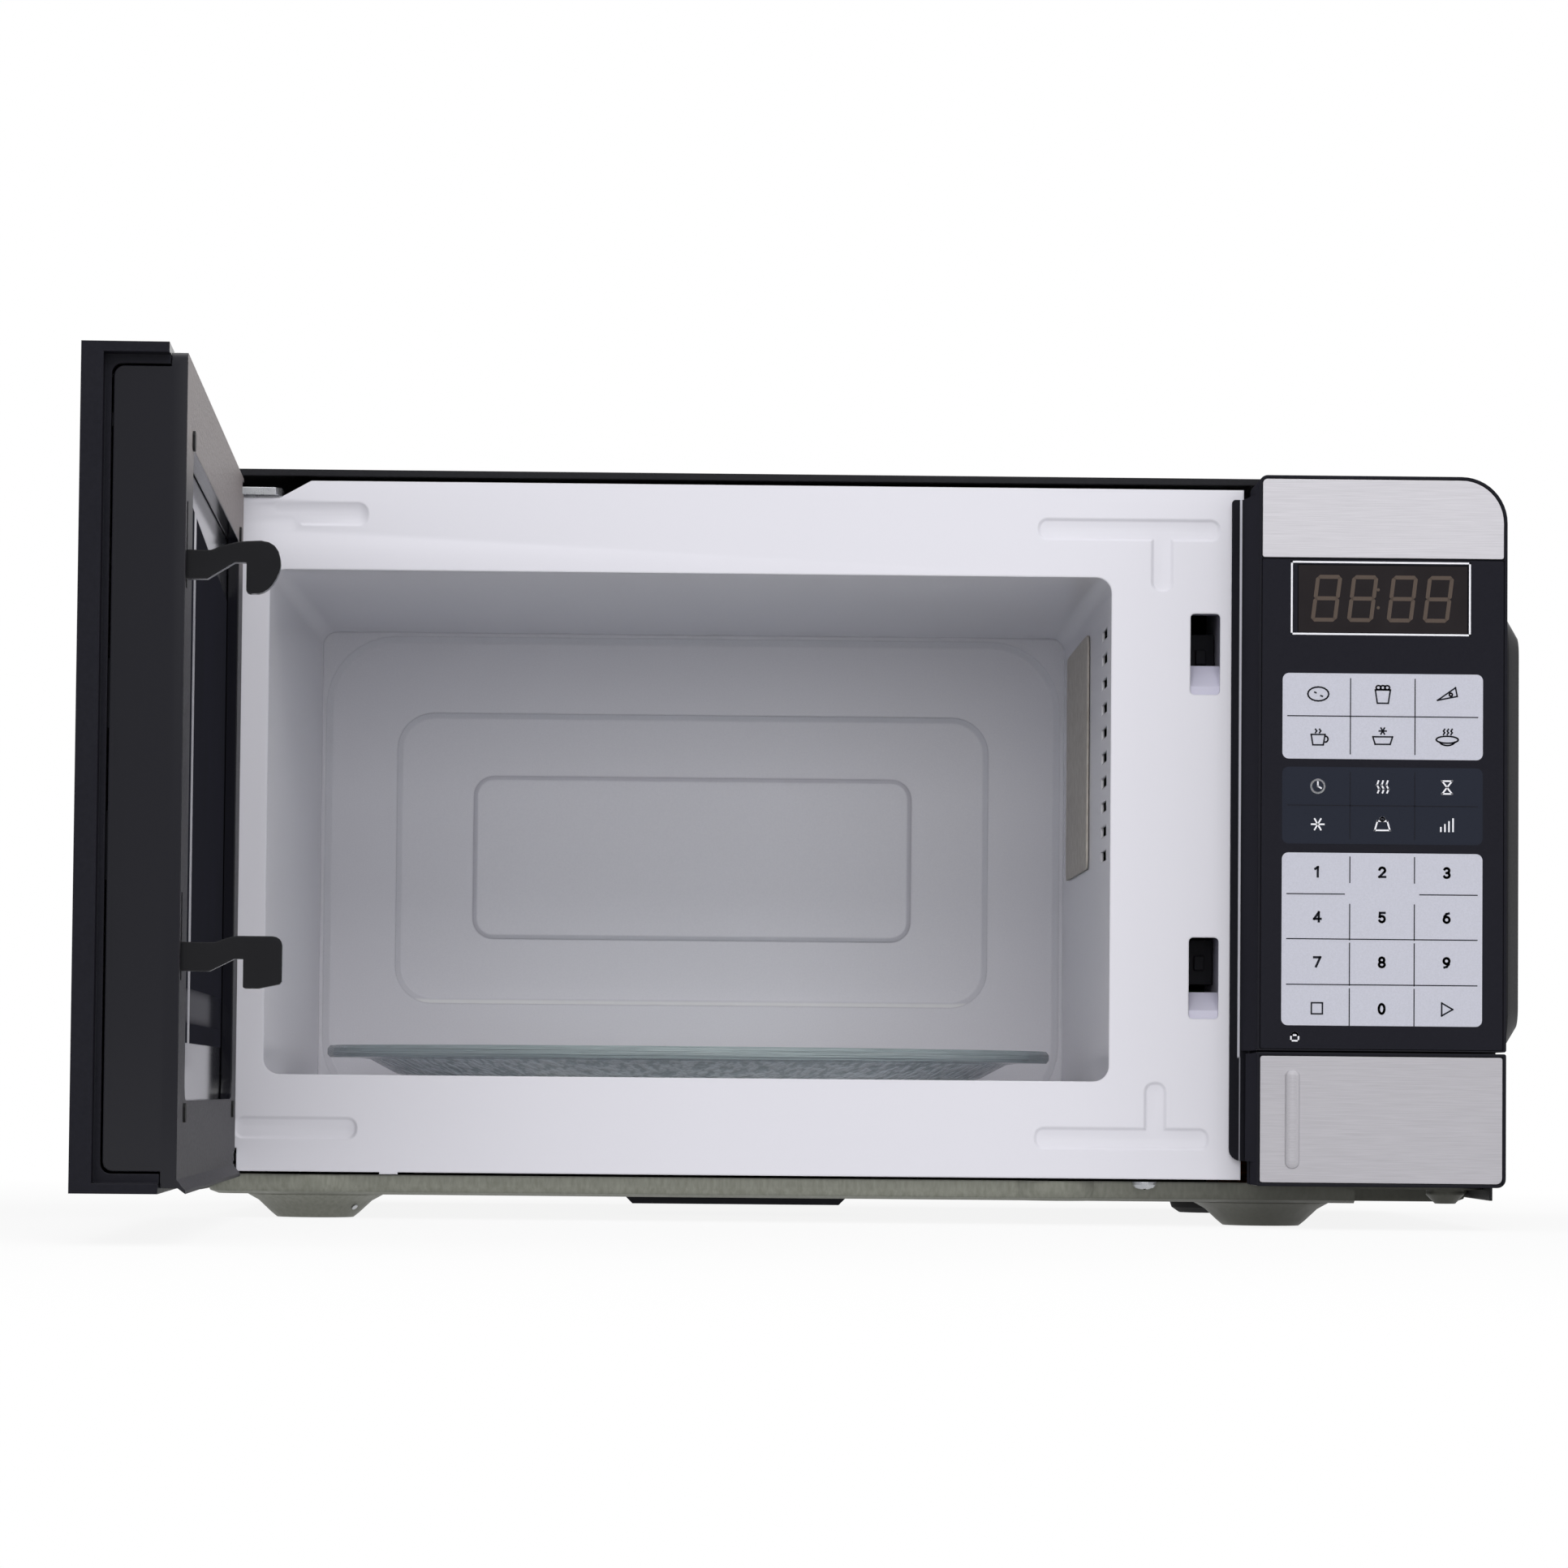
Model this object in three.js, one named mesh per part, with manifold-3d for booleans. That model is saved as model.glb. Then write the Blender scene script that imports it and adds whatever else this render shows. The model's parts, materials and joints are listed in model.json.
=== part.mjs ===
// Countertop microwave oven, door standing open: millimetres, +Z up, front toward -Y.
// The frame of the values below has X = 0 at the middle of the cooking cavity, Y = 0 on the
// white front plate and Z = 0 on the surface that the feet stand on.
import * as THREE from 'three';
import { mergeVertices } from 'three/addons/utils/BufferGeometryUtils.js';
import Module from 'manifold-3d';

const wasm = await Module();
wasm.setup();

// ---------------------------------------------------------------- driving sizes
const gap = 0.3; // running and seating clearance between neighbouring pieces
const sheet = 1; // steel sheet of case, plate, cavity and pan
const through = 4; // how far a cutting tool runs past the wall that it cuts

// case
const caseWidth = 452;
const caseDepth = 310;
const caseHeight = 262.3;
const footHeight = 8.3;
const panRise = 8; // pan underside to the lower edge of the front plate
const plateTopDrop = 4; // case top to the upper edge of the front plate
const hemHeight = 2.3; // rolled front edge of the case
const hemDepth = 8;
const caseRadius = 7;

// cooking cavity
const openingWidth = 295.4;
const openingBottom = 50.2;
const openingTopDrop = 31.3; // upper edge of the front plate to the opening
const openingRadius = 5.5;
const leftMargin = 22.1; // case side to cavity opening
const cavityDepth = 287;
const floorDrop = 15.2; // cavity floor below the lower edge of the opening
const flangeDepth = 9; // return flanges of the front plate
const backStep = 3; // depth of each pressed step of the back wall

// door and control panel
const frontBottom = 14.8;
const frontTopDrop = 2.2; // case top to the top of door and panel
const frontProjection = 35; // plate to the front of door and panel
const panelWidth = 86;
const doorGap = 1;
const doorThickness = 30.4;
const trayDepth = 25.4; // outer door frame
const hingeInset = 6.8; // door edge to hinge axis
const hingeDepth = 11; // plate to hinge axis
const openAngle = THREE.MathUtils.degToRad(88);
const edgeInset = 6.5; // recessed free edge of the door behind its front flange
const edgeFlange = 6.5; // thickness of that flange
const rim = 3; // top and bottom walls of the door frame
const moulding = 2.4; // plastic wall of door and panel
const glassThickness = 2.8;
const trimThickness = 0.8;
const windowMargin = { hinge: 24, free: 35.7, low: 26.7, high: 26.6 }; // round the door's window
const chokeWidth = 17;
const chokeToothPitch = 22;
const chokeToothSlot = 3;
const topBand = 27.1; // stainless band at the top of door and panel
const buttonHeight = 46;
const panelRadius = 16;
const cornerRadius = 3;
const bandMargin = 1.3;

// latch
const hookInset = 14.5; // free edge of the door to the middle of the hooks
const hookThickness = 5;
const lowerHookRise = 64.2; // bottom of the door to the underside of the lower hook's arm
const upperHookDrop = 67.4; // top of the door to the underside of the upper hook's arm
const hookArm = 8.4;
const latchTravel = 9.5;
const slotWidth = 10.4;
const slotHeight = 28.5;
const slotBelowTip = 1.7;
const slotRadius = 1.5;
const buttonTravel = 4.5;

// turntable
const turntableY = 146;
const trayRadius = 135;
const trayRimTop = 61.3;
const trayRimThickness = 4.4;
const trayFlatRadius = 104;
const trayThickness = 4.2;
const rollerRadius = 7;
const rollerTrack = 97;
const rollerWidth = 6;
const rollerCount = 3;

// fan
const fanRadius = 46;
const fanInset = 64.2; // case side to the fan's axis
const fanDrop = 84.3; // case top to the fan's axis
const bladeCount = 7;

// ---------------------------------------------------------------- derived levels
const caseLeft = -(openingWidth / 2 + leftMargin);
const caseRight = caseLeft + caseWidth;
const panUnder = footHeight;
const plateBottom = panUnder + panRise;
const plateTop = caseHeight - plateTopDrop;
const openingTop = plateTop - openingTopDrop;
const cavityFloor = openingBottom - floorDrop;
const cavitySide = openingWidth / 2;
const innerLeft = caseLeft + sheet + gap;
const innerRight = caseRight - sheet - gap;
const frontTop = caseHeight - frontTopDrop;
const frontY = -frontProjection;
const panelLeft = caseRight - panelWidth;
const doorRight = panelLeft - doorGap;
const hingeX = caseLeft + hingeInset;
const hingeY = -hingeDepth;
const doorOuter = frontY; // door outer face when closed
const doorInner = frontY + doorThickness;
const bandBottom = frontTop - bandMargin - topBand;
const buttonTop = frontBottom + buttonHeight;
const plateRight = panelLeft - 2.2;
const hookX = doorRight - hookInset;
const lowerHook = frontBottom + lowerHookRise;
const upperHook = frontTop - upperHookDrop;
const hookLevels = [lowerHook, upperHook];
const tipDrop = 4.9; // hook tip below the underside of its arm
const notches = [ // of the lower and the upper hook
  { start: 15.4, end: 18, height: 3.6 },
  { start: 14, end: 17.4, height: 4.9 },
];
const slotBottoms = hookLevels.map((z) => z - tipDrop - slotBelowTip);
const trayUnder = cavityFloor + 2 * rollerRadius + 2 * gap;
const fanX = caseRight - fanInset;
const fanZ = caseHeight - fanDrop;

// ---------------------------------------------------------------- solids
const PLANES = {
  xy: new THREE.Matrix4(),
  xz: new THREE.Matrix4().makeBasis(
    new THREE.Vector3(1, 0, 0), new THREE.Vector3(0, 0, 1), new THREE.Vector3(0, -1, 0)),
  yz: new THREE.Matrix4().makeBasis(
    new THREE.Vector3(0, 1, 0), new THREE.Vector3(0, 0, 1), new THREE.Vector3(1, 0, 0)),
};

// A closed geometry as a solid that can be joined and cut.
function solid(geometry) {
  const bare = geometry.clone();
  bare.deleteAttribute('normal');
  bare.deleteAttribute('uv');
  const merged = mergeVertices(bare, 1e-4);
  const corners = merged.index.array;
  const kept = [];
  for (let i = 0; i < corners.length; i += 3) {
    const [a, b, c] = corners.slice(i, i + 3);
    if (a !== b && b !== c && c !== a) kept.push(a, b, c);
  }
  return new wasm.Manifold(new wasm.Mesh({
    numProp: 3,
    vertProperties: Float32Array.from(merged.attributes.position.array),
    triVerts: Uint32Array.from(kept),
  }));
}

function joined(...solids) {
  return solids.reduce((sum, item) => sum.add(item));
}

function cut(body, ...tools) {
  return tools.reduce((rest, tool) => rest.subtract(tool), body);
}

function box(x0, x1, y0, y1, z0, z1) {
  const geometry = new THREE.BoxGeometry(x1 - x0, y1 - y0, z1 - z0);
  geometry.translate((x0 + x1) / 2, (y0 + y1) / 2, (z0 + z1) / 2);
  return solid(geometry);
}

// Outline extruded square to a plane, from one level to another along the third axis.
// bevel = [inset, height] chamfers or rounds both ends.
function prism(shape, plane, from, to, { segments = 4, bevel = null, bevelSteps = 1 } = {}) {
  const length = to - from;
  const geometry = new THREE.ExtrudeGeometry(shape, {
    depth: bevel ? length - 2 * bevel[1] : length,
    curveSegments: segments,
    bevelEnabled: Boolean(bevel),
    bevelSize: bevel ? bevel[0] : 0,
    bevelOffset: bevel ? -bevel[0] : 0,
    bevelThickness: bevel ? bevel[1] : 0,
    bevelSegments: bevelSteps,
  });
  if (bevel) geometry.translate(0, 0, bevel[1]);
  const along = plane === 'xz' ? -to : from;
  geometry.translate(0, 0, along);
  geometry.applyMatrix4(PLANES[plane]);
  return solid(geometry);
}

function polygon(points) {
  return new THREE.Shape(points.map(([a, b]) => new THREE.Vector2(a, b)));
}

// Rectangle between two corners; radii are given for the corners
// lower left, lower right, upper right, upper left, or once for all four.
function roundedRect(a0, a1, b0, b1, radius) {
  const [ll, lr, ur, ul] = Array.isArray(radius) ? radius : [radius, radius, radius, radius];
  const shape = new THREE.Shape();
  const quarter = Math.PI / 2;
  shape.moveTo(a0 + ll, b0);
  shape.lineTo(a1 - lr, b0);
  shape.absarc(a1 - lr, b0 + lr, lr, -quarter, 0, false);
  shape.lineTo(a1, b1 - ur);
  shape.absarc(a1 - ur, b1 - ur, ur, 0, quarter, false);
  shape.lineTo(a0 + ul, b1);
  shape.absarc(a0 + ul, b1 - ul, ul, quarter, 2 * quarter, false);
  shape.lineTo(a0, b0 + ll);
  shape.absarc(a0 + ll, b0 + ll, ll, 2 * quarter, 3 * quarter, false);
  return shape;
}

function circle(a, b, radius) {
  const shape = new THREE.Shape();
  shape.absarc(a, b, radius, 0, 2 * Math.PI, false);
  return shape;
}

// Round bar between two levels; a and b are its centre in the plane square to the axis.
function rod(plane, a, b, radius, from, to, sides = 16) {
  return prism(circle(a, b, radius), plane, from, to, { segments: sides / 2 });
}

// Body of revolution about a vertical axis at x, y; the profile is a list of [radius, height].
function turned(profile, x, y, segments = 32) {
  const geometry = new THREE.LatheGeometry(profile.map(([r, h]) => new THREE.Vector2(r, h)), segments);
  geometry.rotateX(Math.PI / 2);
  geometry.translate(x, y, 0);
  return solid(geometry);
}

// ---------------------------------------------------------------- scene graph
const oven = new THREE.Group();
const materials = {};

function finish(name, color, roughness, metalness) {
  materials[name] = () => new THREE.MeshStandardMaterial({ color, roughness, metalness });
}

finish('caseBlack', 0x17171b, 0.35, 0.2);
finish('galvanised', 0x8f948a, 0.45, 0.85);
finish('enamelWhite', 0xe4e3ea, 0.3, 0.1);
finish('cavityGrey', 0xa3a3a8, 0.45, 0.1);
finish('mica', 0x9c9286, 0.8, 0);
finish('plasticBlack', 0x26262c, 0.5, 0);
finish('glossBlack', 0x121318, 0.12, 0);
finish('stainless', 0xc6c6cb, 0.35, 1);
finish('steel', 0xb9bcc0, 0.25, 1);
finish('smokedGlass', 0x1c1b1f, 0.08, 0);
finish('tealGlass', 0x9fc4c2, 0.08, 0);
finish('lilacPlastic', 0xb7b5c6, 0.5, 0);
finish('whitePlastic', 0xe6e6e2, 0.45, 0);
finish('rubber', 0x141414, 0.9, 0);
finish('copper', 0xb46a3c, 0.4, 0.8);
finish('board', 0x2f6b3c, 0.6, 0);

// One named piece. The solid is given in the frame of the values above;
// a group that turns or slides is passed with the point that its own origin stands on.
function piece(name, body, material, parent = oven, origin = [0, 0, 0]) {
  const moved = body.translate([-origin[0], -origin[1], -origin[2]]);
  const mesh = moved.getMesh();
  const geometry = new THREE.BufferGeometry();
  geometry.setAttribute('position', new THREE.BufferAttribute(mesh.vertProperties, 3));
  geometry.setIndex(new THREE.BufferAttribute(mesh.triVerts, 1));
  geometry.computeVertexNormals();
  const node = new THREE.Mesh(geometry, materials[material]());
  node.name = name;
  parent.add(node);
  return node;
}

// ---------------------------------------------------------------- case
const sideVentPitch = 9;
const sideVentLength = 34;
const sideVentWidth = 2.6;
const sideVentCount = 9;
const sideVentY = caseDepth - 114;
const bulgeDepth = 16; // pressed swelling of the right side
const bulgeSlope = 11;
const bulgeRadius = 18;
const bulgeY = [42, caseDepth - 24];
const bulgeZ = [60, caseHeight - 39.3];

// A row of upright slots cut through a wall that stands square to X.
function sideVents(x, z0) {
  const tools = [];
  for (let i = 0; i < sideVentCount; i += 1) {
    const y = sideVentY + i * sideVentPitch;
    tools.push(box(x - through, x + through, y, y + sideVentWidth, z0, z0 + sideVentLength));
  }
  return tools;
}

function buildWrapper() {
  const bottom = panUnder + 1.5;
  const form = (inset, y0, y1) => prism(
    roundedRect(caseLeft + inset, caseRight - inset, inset ? bottom - through : bottom, caseHeight - inset,
      [0.2, 0.2, caseRadius - inset, caseRadius - inset]), 'xz', y0, y1);
  const hem = cut(
    box(caseLeft + sheet / 2, caseRight - sheet / 2, 0, hemDepth,
      caseHeight - hemHeight, caseHeight - sheet / 2),
    box(caseLeft - through, caseLeft + caseRadius, -through, hemDepth + through, 0, caseHeight),
    box(caseRight - caseRadius, caseRight + through, -through, hemDepth + through, 0, caseHeight));
  const bulge = (inset) => prism(
    roundedRect(bulgeY[0] + inset, bulgeY[1] - inset, bulgeZ[0] + inset, bulgeZ[1] - inset,
      bulgeRadius - inset),
    'yz', caseRight - sheet - bulgeDepth - inset, caseRight + bulgeDepth - inset,
    { bevel: [bulgeSlope, bulgeDepth], bevelSteps: 2 });
  const inside = box(caseRight - sheet - 3 * bulgeDepth, caseRight - sheet, ...bulgeY, ...bulgeZ);
  const walls = cut(form(0, 0, caseDepth), form(sheet, -through, caseDepth + through));
  const skin = cut(joined(walls, hem, cut(bulge(0), inside)), bulge(sheet));
  const vents = [
    ...sideVents(caseLeft, caseHeight - 66.3),
    ...sideVents(caseLeft, caseHeight - 110.3),
    ...sideVents(caseRight, panUnder + 9.7),
  ];
  piece('cabinet_wrapper', cut(skin, ...vents), 'caseBlack');
}

const frontFeetX = [caseLeft + 38.8, caseRight - 78.2];
const frontFootY = 31;
const footTopRadius = 24;
const footBottomRadius = 15.5;
const rearFeetX = [caseLeft + 21.8, caseRight - 77.2];
const rearFootY = caseDepth - 64;
const rearFootRadius = 17;
const rearStemRadius = 4;
const motorCover = { left: -24, right: 60, depth: 62, drop: 4, chamfer: 4, inset: 14 };
const panRadius = 12;
const panSetback = 8; // face of the front plate to the front wall of the pan
const panGap = 1; // shadow gap between pan and front plate
const footBoss = 29.3; // the front wall swells round each front foot
const dimple = { x: 130, y: 20, radius: 18 }; // a further swelling of the front wall
const raised = { left: 235, rear: 60, floor: 13.3 }; // front corner where the pan is shallower
const knob = { x: 268.3, y: 22, radius: 6.8, round: 3.2 }; // drop in that corner
const panVent = { count: 7, left: 176, pitch: 12, width: 4, y: [96, 126] };

// The drawn foot: its wall runs down from the pan to a flat pad.
function drawnFoot(x, y, inset) {
  const top = panUnder + 2;
  return turned([
    [0, inset],
    [footBottomRadius - 2 - inset, inset],
    [footBottomRadius - inset, inset + 1.6],
    [footTopRadius - 4 - inset, panUnder - 2.5 + inset],
    [footTopRadius - inset, panUnder - 0.3 + inset],
    [footTopRadius - inset, top + inset * 3],
    [0, top + inset * 3],
  ], x, y, 20);
}

// The pan's block, or with an inset of one sheet its hollow.
function panForm(inset) {
  const top = plateBottom - panGap + (inset ? through : 0);
  const bottom = panUnder + inset;
  const rounded = { bevel: [4.2, 3.6], bevelSteps: 2, segments: 8 };
  const swell = (x, y, radius) => prism(circle(x, y, radius - inset), 'xy', bottom, top + 8, rounded);
  const block = joined(
    prism(roundedRect(innerLeft + inset, innerRight - inset, panSetback + inset,
      caseDepth - 2 * sheet - gap - inset, panRadius - inset), 'xy', bottom, top + 8, rounded),
    ...frontFeetX.map((x) => swell(x, frontFootY, footBoss)),
    swell(dimple.x, dimple.y, dimple.radius));
  const corner = box(raised.left - inset, caseRight, -through, raised.rear + inset, 0, raised.floor + inset);
  const dropTop = raised.floor + (inset ? through : 0.4);
  const side = knob.radius - inset;
  const drop = turned([
    [0, bottom], [side - knob.round, bottom], [side, bottom + knob.round], [side, dropTop], [0, dropTop],
  ], knob.x, knob.y, 14);
  return cut(joined(cut(block, corner), drop), box(caseLeft, caseRight, -through, caseDepth, top, top + 20));
}

function buildPan() {
  const feet = frontFeetX.map((x) => drawnFoot(x, frontFootY, 0));
  const hollows = frontFeetX.map((x) => drawnFoot(x, frontFootY, sheet));
  const stems = rearFeetX.map((x) => rod('xy', x, rearFootY, rearStemRadius + gap, 0, panUnder + through));
  const vents = [];
  for (let i = 0; i < panVent.count; i += 1) {
    const x = panVent.left + i * panVent.pitch;
    vents.push(box(x, x + panVent.width, ...panVent.y, 0, panUnder + through));
  }
  const shell = joined(cut(panForm(0), panForm(sheet)), ...feet);
  piece('base_pan', cut(shell, ...hollows, ...stems, ...coverPosts(gap), ...vents), 'galvanised');
}

// Two posts that carry the motor cover in the pan.
function coverPosts(grow) {
  const middle = (motorCover.left + motorCover.right) / 2;
  const reach = (motorCover.right - motorCover.left) / 2 - motorCover.inset;
  return [-reach, reach].map((shift) => rod('xy', middle + shift, turntableY, 3 + grow,
    panUnder - gap - 1, panUnder + sheet + 1.5, 12));
}

function buildUnderside() {
  const top = panUnder - gap;
  const low = top - motorCover.drop;
  const plate = prism(polygon([
    [motorCover.left + motorCover.chamfer, low], [motorCover.right - motorCover.chamfer, low],
    [motorCover.right, top], [motorCover.left, top],
  ]), 'xz', turntableY - motorCover.depth / 2, turntableY + motorCover.depth / 2);
  piece('motor_access_cover', joined(plate, ...coverPosts(0)), 'plasticBlack');

  ['rear_foot_left', 'rear_foot_right'].forEach((name, i) => {
    const pad = turned([
      [0, 0], [rearFootRadius - 4, 0], [rearFootRadius - 1, 2], [rearFootRadius, 5],
      [rearFootRadius, top], [rearStemRadius, top], [rearStemRadius, panUnder + sheet + gap],
      [rearStemRadius + 1.4, panUnder + sheet + gap], [rearStemRadius - 0.8, panUnder + sheet + 4],
      [0, panUnder + sheet + 4],
    ], rearFeetX[i], rearFootY, 24);
    piece(name, pad, 'rubber');
  });
}

const grilleRows = 9;
const grillePitch = 9.4;
const grilleSlot = 4.4;
const grilleRib = 2; // half the upright rib in the middle of the fan's grille
const glandRadius = 8;
const glandBore = 5.5;
const glandX = 92;
const glandZ = 44;
const backVent = { count: 10, left: -138, pitch: 10, width: 3, top: caseHeight - 36.3, length: 38 };

function buildBackPanel() {
  const y0 = caseDepth - sheet - gap;
  const y1 = caseDepth - gap;
  const plate = prism(
    roundedRect(innerLeft, innerRight, panUnder + 1.5, caseHeight - sheet - gap,
      [0.5, 0.5, caseRadius - sheet, caseRadius - sheet]), 'xz', y0, y1);
  const slot = (x0, x1, z0, z1) => box(x0, x1, y0 - through, y1 + through, z0, z1);
  const tools = [];
  for (let row = 0; row < grilleRows; row += 1) {
    const z = fanZ + (row - (grilleRows - 1) / 2) * grillePitch;
    const half = Math.sqrt(fanRadius ** 2 - (z - fanZ) ** 2);
    [[-half, -grilleRib], [grilleRib, half]].forEach(([a, b]) => tools.push(
      slot(fanX + a, fanX + b, z - grilleSlot / 2, z + grilleSlot / 2)));
  }
  for (let i = 0; i < backVent.count; i += 1) {
    const x = backVent.left + i * backVent.pitch;
    tools.push(slot(x, x + backVent.width, backVent.top - backVent.length, backVent.top));
  }
  const round = (radius, from, to) => rod('xz', glandX, glandZ, radius, from, to, 12);
  tools.push(round(glandRadius + gap, y0 - through, y1 + through));
  piece('back_panel', cut(plate, ...tools), 'caseBlack');

  // The bush that lines the hole for the supply cord.
  const bush = joined(
    round(glandRadius, y0 - 2, y1 + 2),
    round(glandRadius + 2.5, y1 + gap, y1 + 2),
    round(glandRadius + 1.5, y0 - 2, y0 - gap));
  piece('cord_gland', cut(bush, round(glandBore, y0 - through, y1 + through)), 'rubber');
}

// ---------------------------------------------------------------- front plate and cavity
const beadDepth = 1.1;
const beadWidth = 7.8;
const beadFloor = 0.9; // half the flat bottom of a groove

// A pressed groove along a straight run, with round ends and sides that curve down to its floor.
function bead({ x, z, width = beadWidth }, grow) {
  const r = width / 2 + grow;
  const shape = roundedRect(x[0] - r, x[1] + r, z[0] - r, z[1] + r, r - 0.6);
  return prism(shape, 'xz', -beadDepth - 1, beadDepth + grow,
    { bevel: [r - beadFloor, beadDepth], bevelSteps: 2, segments: 2 });
}

// Grooves of the plate, by the centre lines of their runs.
const topBead = plateTop - 14.4;
const lowBead = plateBottom + 14;
const plateBeads = [
  { x: [125.5, 182], z: [topBead, topBead] },
  { x: [165.4, 165.4], z: [topBead - 17.8, topBead] },
  { x: [125.6, 179], z: [lowBead, lowBead] },
  { x: [164, 164], z: [lowBead, lowBead + 16] },
  { x: [-145, -117.6], z: [plateTop - 11.6, plateTop - 11.6], width: 8.4 },
  { x: [-158, -141], z: [plateTop - 12.7, plateTop - 12.7], width: 10.6 },
  { x: [-154, -118.6], z: [lowBead + 1.2, lowBead + 1.2] },
];

// Room behind the plate for the backs of its grooves.
function beadRelief() {
  return plateBeads.map((run) => bead(run, sheet / 2 + gap));
}

const tongueThickness = 2.6;
const tongueUpper = frontTop - 7.1;
const tongueLower = frontBottom + 5;
const tongueHalf = 5.4;
const notchX = caseLeft + 25.2; // the plate's upper left corner is cut away for the hinge
const notchSlope = 11;
const plateTab = { x: [-106.8, -100.4], drop: 0.7 };

function buildFrontPlate() {
  const low = tongueUpper - 0.8;
  const footRight = innerLeft + tongueHalf * 2 + 1;
  const footTop = plateBottom + 8;
  const outline = polygon([
    [innerLeft, footTop], [footRight, footTop], [footRight, plateBottom], [plateRight, plateBottom],
    [plateRight, plateTop], [notchX + notchSlope, plateTop], [notchX, low], [innerLeft, low],
  ]);
  const face = prism(outline, 'xz', 0, sheet);
  const flanges = [
    box(notchX + notchSlope + 2, plateRight, sheet / 2, flangeDepth, plateTop - sheet, plateTop),
    box(footRight, plateRight, sheet / 2, flangeDepth, plateBottom, plateBottom + sheet),
    box(plateRight - sheet, plateRight, sheet / 2, flangeDepth + 5, plateBottom, plateTop),
    box(...plateTab.x, 0, sheet, plateBottom - plateTab.drop, plateBottom + sheet),
  ];
  const opening = prism(
    roundedRect(-cavitySide, cavitySide, openingBottom, openingTop, openingRadius), 'xz', -through, through);
  const slots = slotBottoms.map((z) => prism(
    roundedRect(hookX - slotWidth / 2, hookX + slotWidth / 2, z, z + slotHeight, slotRadius),
    'xz', -through, through, { segments: 3 }));
  const pressed = plateBeads.map((run) => bead(run, sheet / 2));
  const grooves = plateBeads.map((run) => bead(run, 0));
  const front = box(caseLeft, caseRight, -2 * through, 0, 0, caseHeight);
  const body = cut(joined(face, ...flanges, ...pressed), front, ...grooves, opening, ...slots);
  piece('front_plate', body, 'enamelWhite');
}

const waveguideY = [118, 244];
const waveguideZ = [openingTop - 98, openingTop - 11];
const coupling = 12; // margin of the microwave opening inside its cover
const micaThickness = 0.8;
const ventColumnY = [22, 50];
const ventSlot = 3.8;
const ventPitch = 8.8;
const ventCount = 10;
const ventFirst = openingTop - 96.5;
const backY = sheet + gap + cavityDepth - backStep * 2;
// Steps of the back wall, inward from the sides, floor and ceiling of the cavity.
const backOuter = { side: 1.5, low: 1.5, high: 1.5, radius: 28 };
const backMiddle = { side: 29.9, low: 44.5, high: 31.8, radius: 14.6 };
const backIsland = { side: 60.5, low: 70.5, high: 56.7, radius: 8 };

function backOutline(step, grow) {
  return roundedRect(step.side - cavitySide - grow, cavitySide - step.side + grow,
    cavityFloor + step.low - grow, openingTop - step.high + grow, step.radius + grow);
}

// Air inside the cavity, grown outward by the sheet for its outer form.
function cavityForm(grow) {
  const front = sheet + gap - (grow ? 0 : through);
  const main = prism(
    roundedRect(-cavitySide - grow, cavitySide + grow, cavityFloor - grow, openingTop + grow,
      openingRadius + grow),
    'xz', front, backY + grow);
  const outer = prism(backOutline(backOuter, grow), 'xz', backY - 4 * backStep, backY + backStep + grow,
    { bevel: [2.5, 2.5] });
  const middle = prism(backOutline(backMiddle, grow), 'xz', backY - 3 * backStep, backY + 2 * backStep + grow,
    { bevel: [2, 2] });
  const island = prism(backOutline(backIsland, -grow), 'xz',
    backY + 1.3 * backStep + grow, backY + 4 * backStep, { bevel: [1.5, 1.5] });
  return cut(joined(main, outer, middle), island);
}

function buildCavity() {
  const shell = cut(cavityForm(sheet), cavityForm(0));
  const wall = [cavitySide - through, cavitySide + through];
  const tools = [
    box(...wall, waveguideY[0] + coupling, waveguideY[1] - coupling,
      waveguideZ[0] + coupling, waveguideZ[1] - coupling),
    rod('xy', 0, turntableY, 8, cavityFloor - through, cavityFloor + through, 12),
  ];
  for (let i = 0; i < ventCount; i += 1) {
    const z = ventFirst + i * ventPitch;
    tools.push(box(...wall, ...ventColumnY, z - ventSlot / 2, z + ventSlot / 2));
  }
  piece('cavity_shell', cut(shell, ...tools, ...beadRelief()), 'cavityGrey');

  const mica = prism(
    roundedRect(...waveguideY, ...waveguideZ, 4), 'yz',
    cavitySide - gap - micaThickness, cavitySide - gap, { segments: 3 });
  piece('waveguide_cover', mica, 'mica');
}

// ---------------------------------------------------------------- turntable
const hub = new THREE.Group();
const couplerArm = 17;
const couplerTop = trayUnder - gap;

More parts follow.
